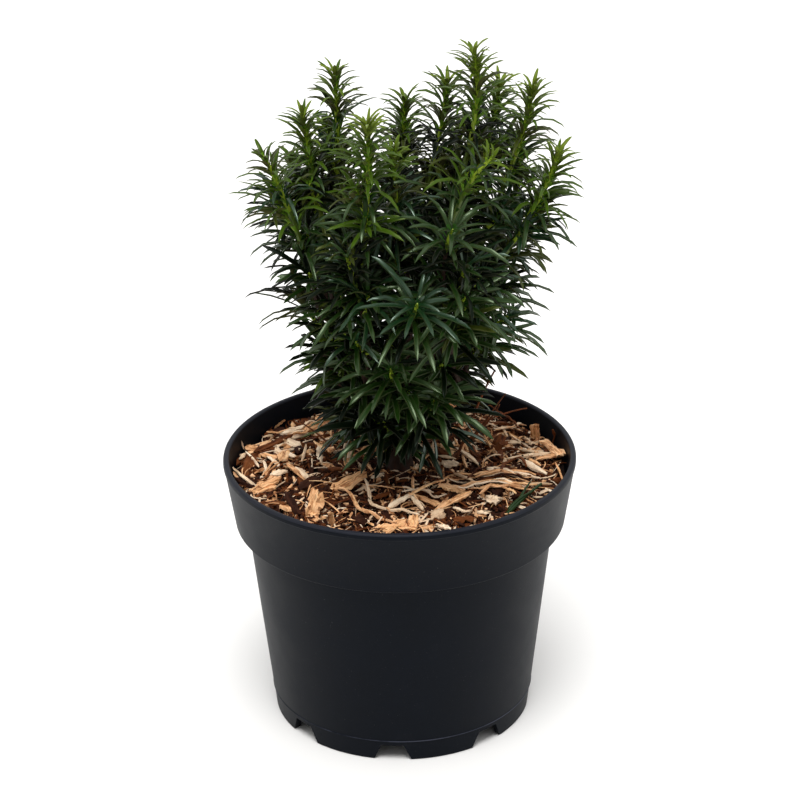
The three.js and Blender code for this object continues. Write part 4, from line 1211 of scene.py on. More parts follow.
class YEW_OT_crumbs(bpy.types.Operator):
    """Strew crumbs of bark between the chips"""

    bl_idname = "yew.crumbs"
    bl_label = "Crumbs"

    def execute(self, context):
        pot, mulch = context.scene.yew_pot, context.scene.yew_mulch
        random = np.random.default_rng(CRUMB_SEED)
        number = mulch.crumbs
        x, y = scattered(random, number, inner_radius(pot, mulch.edge_z), *CRUMB_RING)
        size = random.uniform(*CRUMB_SIZES, number) * MM
        places = on_mulch(pot, mulch, x, y, random.uniform(*CRUMB_LIFTS, number) * MM)
        along = unit(random.normal(0, 1, (number, 3)))
        across = unit(np.cross(along, random.normal(0, 1, (number, 3))))
        stations = len(CRUMB_STATIONS)
        centres = places[:, None] + along[:, None] * (size[:, None] * CRUMB_STATIONS)[..., None]
        breadth = size[:, None] * random.uniform(*CRUMB_BREADTHS, (number, stations))
        depth = size[:, None] * random.uniform(*CRUMB_DEPTHS, (number, stations))
        sides = (np.repeat(part[:, None], stations, axis=1) for part in (across, np.cross(along, across)))
        vertices = strip_points(centres, *sides, breadth, depth, CRUMB_SECTION, True)
        vertices = inside_wall(pot, vertices)
        faces = strip_faces(stations - 2, len(CRUMB_SECTION), True)
        pale = random.uniform(0, 1, number) < PALE_CRUMBS
        kinds = [("bark_crumbs", ~pale, mulch.crumb, 2.4), ("wood_crumbs", pale, mulch.tan, 1.1)]
        for name, chosen, tint, lightest in kinds:
            mesh = mesh_of(name, vertices[chosen], faces)
            finish = crumb_finish(name + "_finish", tuple(tint), lightest)
            add_piece(name, mesh, [finish])
        return {"FINISHED"}


# Trunk, boughs and shoots


def trunk_path():
    """The trunk's line, from just inside the mulch to its fork."""
    start = np.array([0, 0, TRUNK_START_Z])
    fork = TRUNK_LEAN + UP * TRUNK_FORK_Z
    bend = TRUNK_LEAN * 0.2 + UP * mix(TRUNK_START_Z, TRUNK_FORK_Z, 0.5)
    return Path(bezier([start, bend, fork]), TRUNK_RADIUS, TRUNK_FORK_RADIUS)


def bough_path(trunk, bough):
    """A bough leaves the trunk's axis outwards and turns upwards to its tip."""
    end = facing(bough.facing) * bough.reach * MM + UP * bough.top * MM
    if bough is LEADER:
        leaving = trunk.heading(1.0)
        start = trunk.at(1.0) + leaving * GAP
        stiff = LEADER_STIFFNESS
    else:
        start = trunk.at((bough.start * MM - TRUNK_START_Z) / (TRUNK_FORK_Z - TRUNK_START_Z))
        leaving = facing(bough.facing) * math.cos(BOUGH_RISE) + UP * math.sin(BOUGH_RISE)
        stiff = BOUGH_STIFFNESS
    reach = np.linalg.norm(end - start)
    corners = [start, start + leaving * reach * stiff[0], end - UP * reach * stiff[1], end]
    return Path(bezier(corners), BOUGH_FOOT_RADIUS, BOUGH_TIP_RADIUS)


def make_limbs():
    """The trunk's and boughs' paths by name."""
    trunk = trunk_path()
    limbs = {bough.name: bough_path(trunk, bough) for bough in [*BOUGHS, LEADER]}
    return {"trunk": trunk, **limbs}


CLOSED_LEAN = 8  # a shoot that leans no more than this ends in a closed spire, in degrees
OPEN_LEAN = 42  # and one that leans as much as this in an open star
FORK_ALONG, FORK_ASIDE = 0.6, 0.8  # how a shoot leaves the side of its limb


def openness(shoot):
    """How far a shoot ends in an open star, from 0 to 1: the more it leans, the more open."""
    return min(1.0, max(0.0, (shoot.lean - CLOSED_LEAN) / (OPEN_LEAN - CLOSED_LEAN)))


def shoot_path(limbs, shoot, plant):
    """A stem runs from its limb to just below its topmost needles, turning upwards as it goes."""
    carrier = limbs[shoot.bough]
    along = carrier.heading(shoot.at)
    start = carrier.at(shoot.at)
    tip = np.array(shoot.tip) * MM
    outwards = unit(tip * (1, 1, 0))
    lean = math.radians(shoot.lean)
    arriving = outwards * math.sin(lean) + UP * math.cos(lean)
    end = tip - arriving * mix(SPIRE_RISE, STAR_RISE, openness(shoot))
    leaving = along
    if shoot.at < 1:
        aside = end - start
        aside = unit(aside - along * (aside @ along))
        leaving = along * FORK_ALONG + aside * FORK_ASIDE
    reach = np.linalg.norm(end - start)
    after, before = SHOOT_STIFFNESS
    corners = [start, start + leaving * reach * after, end - arriving * reach * before, end]
    return Path(bezier(corners), plant.stem_foot, plant.stem_tip)


TWIG_PLACES = (0.08, 0.66)  # where a stem's lowest and highest side twigs leave it, as shares
TWIG_STRAY = (0, 0.8)  # how far one stands above its even place, as a share of the step
TWIG_TURNS = (15, 95)  # how far round from straight outwards they leave, in degrees
TWIG_REACHES = (12, 26)  # how long they are, in millimetres
TWIG_FULL = 50 * MM  # with this much stem above it a twig has its full length, with none it has half
TWIG_FOOT = 0.75  # radius of a twig's foot, as a share of a stem's
# How far a twig's middle stands from its foot, and its end from its middle, as shares of its
# reach: outwards for the lowest and for the highest twig, along the stem, and up.
TWIG_MIDDLE_OUT, TWIG_MIDDLE_ALONG = (0.42, 0.3), 0.3
TWIG_END_OUT, TWIG_END_ALONG, TWIG_END_UP = (0.3, 0.05), 0.42, 0.12
TWIG_ROOM = 0.8  # how near they may come to another stem, as a share of the way to their own
LOW_TWIGS = 0.62  # how long a stem's lowest side twigs are, as a share of its highest


def twig_paths(stem, others, form, random, plant):
    """Side twigs leave a stem outwards from the crown and turn up towards their tips. A twig that
    would come nearer to another shoot's stem than to its own is left out."""
    twigs = []
    number = max(1, round(stem.length / plant.twig_step * mix(1.0, STAR_TWIGS, form)))
    for order in range(number):
        height = (order + random.uniform(*TWIG_STRAY)) / number
        amount = np.array(mix(*TWIG_PLACES, height))
        start, along = stem.at(amount), stem.heading(amount)
        away = unit(start * (1, 1, 0) + 1e-9)
        turn = (1 if order % 2 else -1) * math.radians(random.uniform(*TWIG_TURNS))
        away = np.array(Matrix.Rotation(turn, 3, "Z") @ Vector(away))
        above = stem.length * (1 - float(amount))
        reach = random.uniform(*TWIG_REACHES) * MM * min(1, mix(0.5, 1.0, above / TWIG_FULL))
        reach *= mix(LOW_TWIGS, 1.0, height)
        middle = start + away * reach * mix(*TWIG_MIDDLE_OUT, height) + along * reach * TWIG_MIDDLE_ALONG
        end = middle + away * reach * mix(*TWIG_END_OUT, height)
        end = end + along * reach * TWIG_END_ALONG + UP * reach * TWIG_END_UP
        twig = Path(bezier([start, middle, end], 16), TWIG_FOOT * plant.stem_foot, plant.stem_tip)
        own = distance(stem.points[::4], end)
        if all(distance(other.points[::4], end) > own * TWIG_ROOM for other in others):
            twigs.append(twig)
    return twigs


def distance(points, place):
    """How far a place is from the nearest of some points."""
    return np.min(np.linalg.norm(points - place, axis=-1))


Growth = namedtuple("Growth", "shoot stems limbs")


def grow_shoots(plant):
    """Every shoot with its stem and side twigs, on the limbs that carry them."""
    limbs = make_limbs()
    stems = [shoot_path(limbs, shoot, plant) for shoot in SHOOTS]
    growths = []
    for order, (shoot, stem) in enumerate(zip(SHOOTS, stems)):
        random = np.random.default_rng(TWIG_SEED + order)
        others = stems[:order] + stems[order + 1 :]
        twigs = twig_paths(stem, others, openness(shoot), random, plant)
        growths.append(Growth(shoot, [stem, *twigs], limbs))
    return growths


BARK_GRAIN = (420, 420, 120)  # how closely the bark's ridges lie across and up
BARK_NOISE = (0.7, 2.1, 3)  # dimension, lacunarity and octaves
BARK_RELIEF = 0.11  # how high they are, as a share of the limb's radius
TRUNK_MESH = (60, 32)  # rings and sides
BOUGH_MESH = (44, 14)
LITTER_MESH = (20, 8)


def bark_tube(path, radius_at, rings, sides):
    """A limb with ridges and hollows in its bark."""
    amount = np.linspace(0, 1, rings)
    centres, along, across = path.at(amount), path.heading(amount), path.across(amount)
    up = np.cross(along, across)
    turns = 2 * math.pi * np.arange(sides) / sides
    vertices = np.zeros((1, rings * sides, 3))
    for ring in range(rings):
        for side, turn in enumerate(turns):
            out = across[ring] * math.cos(turn) + up[ring] * math.sin(turn)
            radius = radius_at(amount[ring])
            place = Vector(centres[ring] + out * radius)
            ridge = noise.fractal(place * Vector(BARK_GRAIN), *BARK_NOISE)
            vertices[0, ring * sides + side] = centres[ring] + out * radius * (1 + BARK_RELIEF * ridge)
    return vertices, strip_faces(rings, sides, False)


def joined(parts, name):
    """One mesh of several (vertices, faces) bodies."""
    meshes = [mesh_of(name, vertices, faces) for vertices, faces in parts]
    objects = [bpy.data.objects.new(name, mesh) for mesh in meshes]
    for item in objects:
        bpy.context.scene.collection.objects.link(item)
    with bpy.context.temp_override(active_object=objects[0], selected_editable_objects=objects):
        bpy.ops.object.join()
    made = objects[0].data
    bpy.data.objects.remove(objects[0])
    return made


class YEW_OT_limbs(bpy.types.Operator):
    """Make the trunk with its root flare, and the boughs, with bark in relief"""

    bl_idname = "yew.limbs"
    bl_label = "Trunk and boughs"

    def execute(self, context):
        plant = context.scene.yew_plant
        bark = bark_finish("yew_bark", tuple(plant.wood))
        limbs = make_limbs()
        trunk = limbs.pop("trunk")

        def flared(amount):
            return trunk.radius_at(amount) + TRUNK_FLARE * math.exp(-amount / TRUNK_FLARE_REACH)

        trunk_mesh = mesh_of("trunk", *bark_tube(trunk, flared, *TRUNK_MESH))
        smooth(trunk_mesh, degrees=70)
        add_piece("trunk_bark", trunk_mesh, [bark], ["trunk"])
        boughs = [bark_tube(path, path.radius_at, *BOUGH_MESH) for path in limbs.values()]
        bough_mesh = joined(boughs, "boughs")
        smooth(bough_mesh, degrees=70)
        add_piece("bough_bark", bough_mesh, [bark], [f"bough_{name}" for name in limbs])
        return {"FINISHED"}


# Stems


STEM_RINGS = 18
STEM_RIDGES = [1.0, 0.86, 1.05, 0.84, 1.0, 0.88, 1.04, 0.86]  # its section, as shares of its radius
STEM_END = 0.4  # radius of its last ring, as a share
YOUNG_REACH = 52 * MM  # how far below its end a stem is still bright green
GREEN_REACH = 105 * MM  # and how far below it is still green at all
OLD_GREEN = 0.35  # share of those reaches on the oldest shoot
STAR_GREEN = 0.42  # and on an open one


class YEW_OT_stems(bpy.types.Operator):
    """Make the stems of the shoots and their side twigs, bright green towards their ends"""

    bl_idname = "yew.stems"
    bl_label = "Stems"

    def execute(self, context):
        plant = context.scene.yew_plant
        growths = grow_shoots(plant)
        paths = [path for growth in growths for path in growth.stems]
        youth = np.array([growth.shoot.youth for growth in growths for _ in growth.stems])
        amount = np.linspace(0, 1, STEM_RINGS)
        centres = np.array([path.at(amount) for path in paths])
        along = np.array([path.heading(amount) for path in paths])
        across = np.array([path.across(amount) for path in paths])
        radii = np.array([path.radius_at(amount) for path in paths])
        radii[:, -1] *= STEM_END
        turns = 2 * math.pi * np.arange(len(STEM_RIDGES)) / len(STEM_RIDGES)
        section = [(r * math.cos(turn), r * math.sin(turn)) for r, turn in zip(STEM_RIDGES, turns)]
        vertices = strip_points(centres, across, np.cross(along, across), radii, radii, section, False)
        faces = strip_faces(STEM_RINGS, len(section), False)
        ring_of = np.array([ring for _, ring, _ in faces])
        lengths = np.array([path.length for path in paths])
        from_end = lengths[:, None] * (1 - np.clip(ring_of - 0.5, 0, None) / (STEM_RINGS - 1))
        form = np.array([openness(growth.shoot) for growth in growths for _ in growth.stems])
        reach = (mix(OLD_GREEN, 1.0, youth) * mix(1.0, STAR_GREEN, form))[:, None]
        slots = (from_end > YOUNG_REACH * reach).astype(int) + (from_end > GREEN_REACH * reach)
        mesh = mesh_of("stems", vertices, faces, slots)
        smooth(mesh, degrees=60)
        finishes = [
            plain_finish("young_stem", tuple(plant.stem), roughness=0.5),
            plain_finish("green_stem", tuple(plant.twig), roughness=0.55),
            plain_finish("woody_stem", tuple(plant.wood), roughness=0.8, specular=0.3),
        ]
        add_piece("stems", mesh, finishes)
        return {"FINISHED"}


# Needles


# Colours of the needles' gloss
WARM = (0.9, 1.0, 0.5)
GREEN = (0.8, 1.0, 0.64)
COOL = (0.8, 1.0, 0.84)

# Each tint with how far its undersides turn pale, how much lighter its petioles are, how
# glossy it is, and the colour of that gloss.
Tint = namedtuple("Tint", "name under petiole gloss sheen")
TINTS = [
    Tint("tip", 0.2, 1.35, 0.1, WARM),
    Tint("fresh", 0.3, 2.3, 0.14, WARM),
    Tint("mid", 0.35, 3.0, 0.18, WARM),
    Tint("deep", 0.4, 2.8, 0.5, GREEN),
    Tint("blue", 0.3, 2.4, 0.72, COOL),
    Tint("olive", 0.4, 2.2, 0.2, WARM),
    Tint("dark", 0.15, 2.4, 0.08, COOL),
]
TIP, FRESH, MID, DEEP, BLUE, OLIVE, DARK = range(len(TINTS))
MARGIN_PALENESS = 0.3  # how pale a needle's margins are, as a share of its underside
NEEDLE_ROUGHNESS = 0.29
SPRAY = 12  # needles that share a tint

# How often each tint is dealt out, up to each distance in millimetres below a young shoot's end.
AGES = [
    (5, (0.8, 0.2, 0, 0, 0, 0, 0)),
    (18, (0.08, 0.5, 0.42, 0, 0, 0, 0)),
    (40, (0, 0.08, 0.58, 0.14, 0, 0.2, 0)),
    (85, (0, 0, 0.42, 0.35, 0.03, 0.2, 0)),
    (math.inf, (0, 0, 0, 0.39, 0.26, 0.15, 0.2)),
]
OLDEST_SHOOT = 0.16  # share of those distances in which the oldest shoot's needles turn dark
PAINTED_SHADE_RADIUS = 45 * MM  # needles nearer the middle than this get painted shade: they are dealt darker tints
PAINTED_SHADE_TOP = (0.27, 0.33)  # heights between which that stops
PAINTED_SHADE_AGE = 1.4  # how much older, and so darker, the tints are that paint shade on needles deepest in the crown

# How needles stand along a shoot. Distances are below its end, and angles are in degrees.
FIRST_NEEDLE = 0.2 * MM  # where the first one stands
LEAFY_SHARE = 0.86  # how much of a shoot bears needles
CLOSE_REACH = 30 * MM  # down to here they stand closest
GROWN_REACH = 55 * MM  # from here on a spire's needles are full-grown
SPREAD_REACH = 48 * MM  # and from here on they stand furthest out
WANING = 0.16  # how much shorter they are again on the oldest wood, as a share
WANING_REACH = 70 * MM  # and how much further down that is
SIDEWAYS = 0.6  # how far the needles below a leaning stem turn to its sides
BREADTH = ((0.2, 0.32), (1.02, 0.9))  # needles are broader low down: heights, and shares
BUD_BREADTH = 0.8  # and narrower at the end, as a share
SUNK = 0.6  # where they start inside the stem, as a share of its radius
# How unevenly they change below a stem's end, and along themselves, as exponents.
LENGTH_CURVE, SPLAY_CURVE, DROOP_CURVE = 0.75, 0.7, 1.2
BEND_ALONG, DROOP_ALONG = 1.2, 1.5
TIP_SPLAY = 18  # angle from the stem of a needle at its end
SPLAY = (40, 52)  # and of one further down, on a spire and on a star
TIP_BEND = 62  # how far a needle at the end bends on along its length
BEND = (62, 26)  # and one further down, on a spire and on a star
TIP_DROOP = 0.1  # how far one at the end droops, as a share of its length
DROOP = (1.05, 0.95)  # and one further down, on a spire and on a star
SIZES = (0.6, 1.3)  # the least and the most of its full length that a needle has
WIDTHS = (0.85, 1.12)  # and of its full width
DROOPS = (0.3, 1.5)  # and of its full droop
# How much they differ by chance: in their turn round the stem and their twist in radians, in
# their length as a share, and in their splay and bend in degrees.
TURN_SPREAD = 0.16
TWIST_SPREAD = 0.3
LENGTH_SPREAD = 0.14
SPLAY_SPREAD = 6
BEND_SPREAD = 12

# How an open shoot differs from a closed one.
STAR_LEAFY = 38 * MM  # length that bears needles; below it the shoot is bare
STAR_LENGTH = 1.1  # how much longer its needles are
STAR_STEP = 1.8  # how much further apart they stand
STAR_WIDTH = 1.04  # how much wider they are
STAR_SPREAD = 0.22  # share of a closed one's reach after which they stand furthest out
STAR_FILLING = 0.2  # share of it after which they are full-grown
YOUNG_STAR = 1.5  # how fast that share rises with the shoot's youth
YOUNG_FROM = 0.6  # and from which youth on it rises
STAR_FADING = (0.25, 0.6)  # share of it in which they turn dark, on an old one and a young one
STAR_AGE = 36 * MM  # how far below a closed one's end the needles stand that look as old
STAR_BUD = 0.6  # how long the needles at an old one's heart are, as a share of a closed one's

# Side twigs
TWIG_OPENNESS = 0.4  # between a closed shoot and an open one
TWIG_YOUTH = (0.15, 0.4)  # how young the lowest and the highest are
TWIG_GROWN = (26 * MM, 6 * MM)  # how grown the last needles are on the lowest and the highest

# One needle: how broad it is at stations along it, and its section, with the places in that of
# the sides that have a finish of their own.
NEEDLE_STATIONS = np.array([0, 0.07, 0.21, 0.42, 0.65, 0.87, 1.0])
BLUNT_OUTLINE = np.array([0.0, 0.5, 0.88, 0.99, 1.0, 0.86, 0.0])
POINTED_OUTLINE = np.array([0.0, 0.52, 0.94, 1.0, 0.84, 0.5, 0.0])
BLUNTNESS = ((0.25, 0.32), (1.0, 0.15))  # needles are blunter low down: heights, and shares
NEEDLE_SECTION = [(1, 0), (0.7, 0.32), (0, 0.12), (-0.7, 0.32), (-1, 0), (0, -0.32)]
MARGIN_SIDES = (0, 3)
UNDER_SIDES = (4, 5)
NEEDLE_WAVE = 0.07  # how unevenly a needle's width changes along it
FINE_STEPS = 24  # steps in which its course is worked out
PETIOLE_OPENING = (0.35, 0.18)  # how far it leaves the stem at once, and where it has left fully
HELD = (1.0, 0.84, 0.7)  # where a needle has no room it is held closer to its stem and shorter
TRIANGLES_A_NEEDLE = 2 * len(NEEDLE_SECTION) * (len(NEEDLE_STATIONS) - 2)
PIECE_TRIANGLES = 190000  # the most in one piece
TOP_SLOT, MARGIN_SLOT, UNDER_SLOT, PETIOLE_SLOT = range(4)

# How far needles keep from what stands round them
MULCH_ROOM = 13 * MM
RIM_ROOM = 5 * MM  # above the rim
RIM_BORDER = 7 * MM  # and how far in from its edge that starts
SIDE_ROOM = 8 * MM  # how far past the packed model's sides they may reach
TOP_ROOM = 3 * MM  # and past its top
LIMB_ROOM = 0.8 * MM
LIMB_SAMPLES = 14


Leaves = namedtuple("Leaves", "root along out length width splay bend twist droop tint")


def needle_marks(leafy, step, growth):
    """How far below a shoot's end each needle stands, as far as it is leafy."""
    marks = []
    mark = FIRST_NEEDLE
    while mark < leafy:
        marks.append(mark)
        mark += step + max(0.0, mark - CLOSE_REACH) * growth
    return np.array(marks)


def needle_places(path, plant, youth, form, grown_by, random):
    """Needles stand spirally round a stem: longer, wider and further out below its end. With a
    form of 1 it ends in an open star of long needles, with a form of 0 in a spire of short ones.
    The last needles are as grown as they would be that far below a young shoot's end."""
    leafy = min(path.length * LEAFY_SHARE, mix(path.length, STAR_LEAFY, form))
    marks = needle_marks(leafy, plant.step * mix(1.0, STAR_STEP, form), plant.step_growth)
    number = len(marks)
    order = np.arange(number)
    amount = 1 - marks / path.length
    along, across = path.heading(amount), path.across(amount)
    turn = random.uniform(0, 2 * math.pi) + order * GOLDEN_ANGLE + random.normal(0, TURN_SPREAD, number)
    out = across * np.cos(turn)[:, None] + np.cross(along, across) * np.sin(turn)[:, None]
    out = unit(out - UP * (np.minimum(out[:, 2], 0) * SIDEWAYS)[:, None])
    root = path.at(amount) + out * (path.radius_at(amount) * SUNK)[:, None]
    opening = mix(1.0, STAR_SPREAD, form)
    filling = mix(1.0, STAR_FILLING + max(0.0, YOUNG_STAR * (youth - YOUNG_FROM)), form)
    grown = np.minimum(1, (marks + grown_by) / (GROWN_REACH * filling))
    spread = np.minimum(1, (marks + 0.5 * grown_by) / (SPREAD_REACH * opening))
    shortest = plant.shortest * mix(1.0, STAR_BUD, form * (1 - youth))
    waning = 1 - WANING * np.clip((marks - GROWN_REACH) / WANING_REACH, 0, 1)
    longest = plant.longest * waning * mix(1.0, STAR_LENGTH, form)
    full = mix(shortest, longest, grown**LENGTH_CURVE)
    size = full * np.clip(random.normal(1, LENGTH_SPREAD, number), *SIZES)
    breadth = np.interp(root[:, 2], *BREADTH) * mix(BUD_BREADTH, mix(1.0, STAR_WIDTH, form), grown)
    width = plant.width * breadth * random.uniform(*WIDTHS, number)
    splay = mix(TIP_SPLAY, mix(*SPLAY, form), spread**SPLAY_CURVE)
    splay = splay + random.normal(0, SPLAY_SPREAD, number)
    bend = mix(TIP_BEND, mix(*BEND, form), spread) + random.normal(0, BEND_SPREAD, number)
    twist = random.normal(0, TWIST_SPREAD, number)
    droop = mix(TIP_DROOP, mix(*DROOP, form), spread**DROOP_CURVE) * random.uniform(*DROOPS, number)
    fading = mix(1.0, mix(*STAR_FADING, youth), form)
    ages = (marks + grown_by) / fading + STAR_AGE * form * (1 - youth)
    # Painted shade: needles near the middle and low in the crown are dealt older, darker tints
    painted_shade = np.clip(1 - np.hypot(root[:, 0], root[:, 1]) / PAINTED_SHADE_RADIUS, 0, 1)
    painted_shade = painted_shade * (1 - np.interp(root[:, 2], PAINTED_SHADE_TOP, (0, 1)))
    tint = spray_tints(ages * (1 + PAINTED_SHADE_AGE * painted_shade), painted_shade, order, youth, form, random)
    return Leaves(root, along, out, size, width, np.radians(splay), np.radians(bend), twist, droop, tint)


def spray_tints(ages, painted_shade, order, youth, form, random):
    """A tint for each needle, dealt out by spray: fresh near a young shoot's end, dark below, and darker
    still as painted shade deep inside the crown."""
    spray = (order + SPRAY // 2) // SPRAY
    tints = np.zeros(len(ages), int)
    for number in np.unique(spray):
        chosen = spray == number
        age = ages[chosen].mean() / mix(OLDEST_SHOOT, 1.0, youth)
        weights = next(weights for limit, weights in AGES if age < limit * MM)
        tints[chosen] = random.choice(len(TINTS), p=weights)
        # Painted shade: a spray deep in the crown may be dealt the darkest tint outright
        if random.uniform() < painted_shade[chosen].mean():
            tints[chosen] = DARK
    if form > 0.5:
        tints[tints == OLIVE] = DEEP
        tints[tints == TIP] = FRESH
    return tints


def needle_lines(leaves, held):
    """Centre line, direction and side of each needle at its stations, for needles held closer to
    their stems and shortened by the given share."""
    fine = np.linspace(0, 1, FINE_STEPS + 1)
    at_once, fully = PETIOLE_OPENING
    opening = mix(at_once, 1.0, np.minimum(1, fine / fully))
    turn = (leaves.splay * held)[:, None] * opening + (leaves.bend * held)[:, None] * fine**BEND_ALONG
    along, out = leaves.along[:, None], leaves.out[:, None]
    course = along * np.cos(turn)[..., None] + out * np.sin(turn)[..., None]
    course = unit(course - UP * (leaves.droop[:, None] * fine**DROOP_ALONG)[..., None])
    steps = (course[:, 1:] + course[:, :-1]) / 2 * (leaves.length * held)[:, None, None] / FINE_STEPS
    line = np.concatenate([np.zeros((len(leaves.root), 1, 3)), np.cumsum(steps, axis=1)], axis=1)
    picked = np.round(NEEDLE_STATIONS * FINE_STEPS).astype(int)
    centres = leaves.root[:, None] + line[:, picked]
    course = course[:, picked]
    side = np.cross(along, out) + 0 * course
    side = unit(side - course * np.sum(side * course, -1, keepdims=True))
    return centres, course, side


def clear(places, limb_points, limb_radii, pot, mulch):
    """Which needles, as (needles, stations, 3) places, keep clear of the limbs, mulch and pot."""
    x, y, z = np.moveaxis(places, -1, 0)
    low = z < mulch_surface(pot, mulch, x, y) + MULCH_ROOM
    at_rim = (z < pot.height + RIM_ROOM) & (np.hypot(x, y) > pot.rim_radius - RIM_BORDER)
    beyond = np.maximum(np.abs(x), np.abs(y)) > CAD_BOX[1].x + SIDE_ROOM
    above = z > CAD_BOX[1].z + TOP_ROOM
    blocked = low | at_rim | beyond | above
    for centre, thick in zip(limb_points, limb_radii):
        blocked |= np.linalg.norm(places - centre, axis=-1) < thick + LIMB_ROOM
    return ~blocked.any(axis=-1)


def limb_samples(limbs):
    """Places along the limbs with the radius there."""
    amount = np.linspace(0, 1, LIMB_SAMPLES)
    points = np.concatenate([path.at(amount) for path in limbs.values()])
    radii = np.concatenate([path.radius_at(amount) for path in limbs.values()])
    return points, radii


def needle_bodies(leaves, limbs, pot, mulch):
    """Vertices of every needle that has room, with its tint."""
    samples = limb_samples(limbs)
    waiting = np.ones(len(leaves.root), bool)
    random = np.random.default_rng(WAVE_SEED)
    waves = random.normal(1, NEEDLE_WAVE, (len(waiting), len(NEEDLE_STATIONS)))
    vertices, tints = [], []
    for held in HELD:
        some = Leaves(*(part[waiting] for part in leaves))
        centres, course, side = needle_lines(some, held)
        fits = clear(centres[:, 2:], *samples, pot, mulch)
        twist = some.twist[:, None, None] * NEEDLE_STATIONS[None, :, None]
        up = np.cross(course, side)
        across = side * np.cos(twist) + up * np.sin(twist)
        upwards = up * np.cos(twist) - side * np.sin(twist)
        blunt = np.interp(some.root[:, 2:], *BLUNTNESS)
        outline = mix(POINTED_OUTLINE, BLUNT_OUTLINE, blunt)
        half = some.width[:, None] / 2 * outline * waves[waiting]
        made = strip_points(centres, across, upwards, half, half, NEEDLE_SECTION, True)
        vertices.append(made[fits])
        tints.append(some.tint[fits])
        waiting[np.flatnonzero(waiting)[fits]] = False
    return np.concatenate(vertices), np.concatenate(tints)


def needle_slot(ring, side):
    """Which finish a face of a needle has: its top, its margins, its underside or its petiole."""
    if ring <= 1:
        return PETIOLE_SLOT
    if side in UNDER_SIDES:
        return UNDER_SLOT
    return MARGIN_SLOT if side in MARGIN_SIDES else TOP_SLOT


def needle_finishes(tint, plant):
    """The finishes of one tint's needles, in the order of their slots."""
    base, pale = np.array(getattr(plant, tint.name)), np.array(plant.underside)
    margin, under = mix(base, pale, MARGIN_PALENESS * tint.under), mix(base, pale, tint.under)
    return [
        plain_finish(f"needle_{tint.name}", tuple(base), NEEDLE_ROUGHNESS, tint.gloss, tint.sheen),
        plain_finish(f"margin_{tint.name}", tuple(margin), roughness=0.45, specular=0.1),
        plain_finish(f"under_{tint.name}", tuple(under), roughness=0.6, specular=0.04),
        plain_finish(f"petiole_{tint.name}", tuple(base * tint.petiole), roughness=0.5, specular=0.15),
    ]


def all_leaves(growths, plant):
    """The needles of every shoot and side twig."""
    sets = []
    for order, growth in enumerate(growths):
        random = np.random.default_rng(NEEDLE_SEED + order)
        form, youth = openness(growth.shoot), growth.shoot.youth
        sets.append(needle_places(growth.stems[0], plant, youth, form, 0.0, random))
        twigs = growth.stems[1:]
        for height, path in zip(np.linspace(0, 1, len(twigs)), twigs):
            fresh = height * growth.shoot.youth
            grown_by, youth = mix(*TWIG_GROWN, fresh), mix(*TWIG_YOUTH, fresh)
            sets.append(needle_places(path, plant, youth, TWIG_OPENNESS, grown_by, random))
    return Leaves(*(np.concatenate(parts) for parts in zip(*sets)))


class YEW_OT_needles(bpy.types.Operator):
    """Make the needles, joined by tint, from the young tips to the old ones, with darker tints painted as
    shade inside the crown
    """

    bl_idname = "yew.needles"
    bl_label = "Needles"

    def execute(self, context):
        scene = context.scene
        plant = scene.yew_plant
        growths = grow_shoots(plant)
        leaves = all_leaves(growths, plant)
        vertices, tints = needle_bodies(leaves, growths[0].limbs, scene.yew_pot, scene.yew_mulch)
        faces = strip_faces(len(NEEDLE_STATIONS) - 2, len(NEEDLE_SECTION), True)
        slots = np.array([needle_slot(ring, side) for _, ring, side in faces])
        nodes = [f"foliage_{growth.shoot.name}" for growth in growths]
        most = PIECE_TRIANGLES // TRIANGLES_A_NEEDLE
        for order, tint in enumerate(TINTS):
            chosen = vertices[tints == order]
            finishes = needle_finishes(tint, plant)
            for part in range(0, len(chosen), most):
                bodies = chosen[part : part + most]
                mesh = mesh_of("needles", bodies, faces, np.tile(slots, len(bodies)))
                smooth(mesh, degrees=55)
                add_piece(f"needles_{tint.name}_{part // most + 1}", mesh, finishes, nodes)
        return {"FINISHED"}


# Litter


# Dry twigs at the plant's foot and a green sprig by the wall: the points that each passes,
# across, back and up in millimetres, its radius at both ends, and what it is.
Litter = namedtuple("Litter", "course foot tip kind")
LITTER = [
    Litter(((30, 6, 141), (38, 12, 160), (44, 16, 176), (52, 18, 190)), 0.9, 0.5, "dry"),
    Litter(((36, 10, 150), (46, 12, 158), (52, 10, 168), (54, 8, 174)), 0.7, 0.35, "dry"),
    Litter(((40, 18, 148), (50, 24, 162), (58, 26, 172)), 0.7, 0.35, "dry"),
    Litter(((26, 16, 150), (44, 24, 156), (60, 30, 160), (70, 30, 161)), 0.8, 0.35, "dry"),
    Litter(((33, 4, 152), (42, 2, 160), (48, -2, 171)), 0.6, 0.3, "dry"),
    Litter(((-36, 22, 142), (-46, 28, 150), (-56, 30, 156)), 0.7, 0.3, "dry"),
    Litter(((56, -52, 139), (64, -42, 143), (75, -31, 146)), 1.3, 0.6, "sprig"),
    Litter(((57, -49, 140), (62, -43, 144), (69, -39, 145)), 1.2, 0.4, "sprig"),
    Litter(((61, -46, 141), (65, -38, 145), (69, -31, 147)), 1.1, 0.4, "sprig"),
]


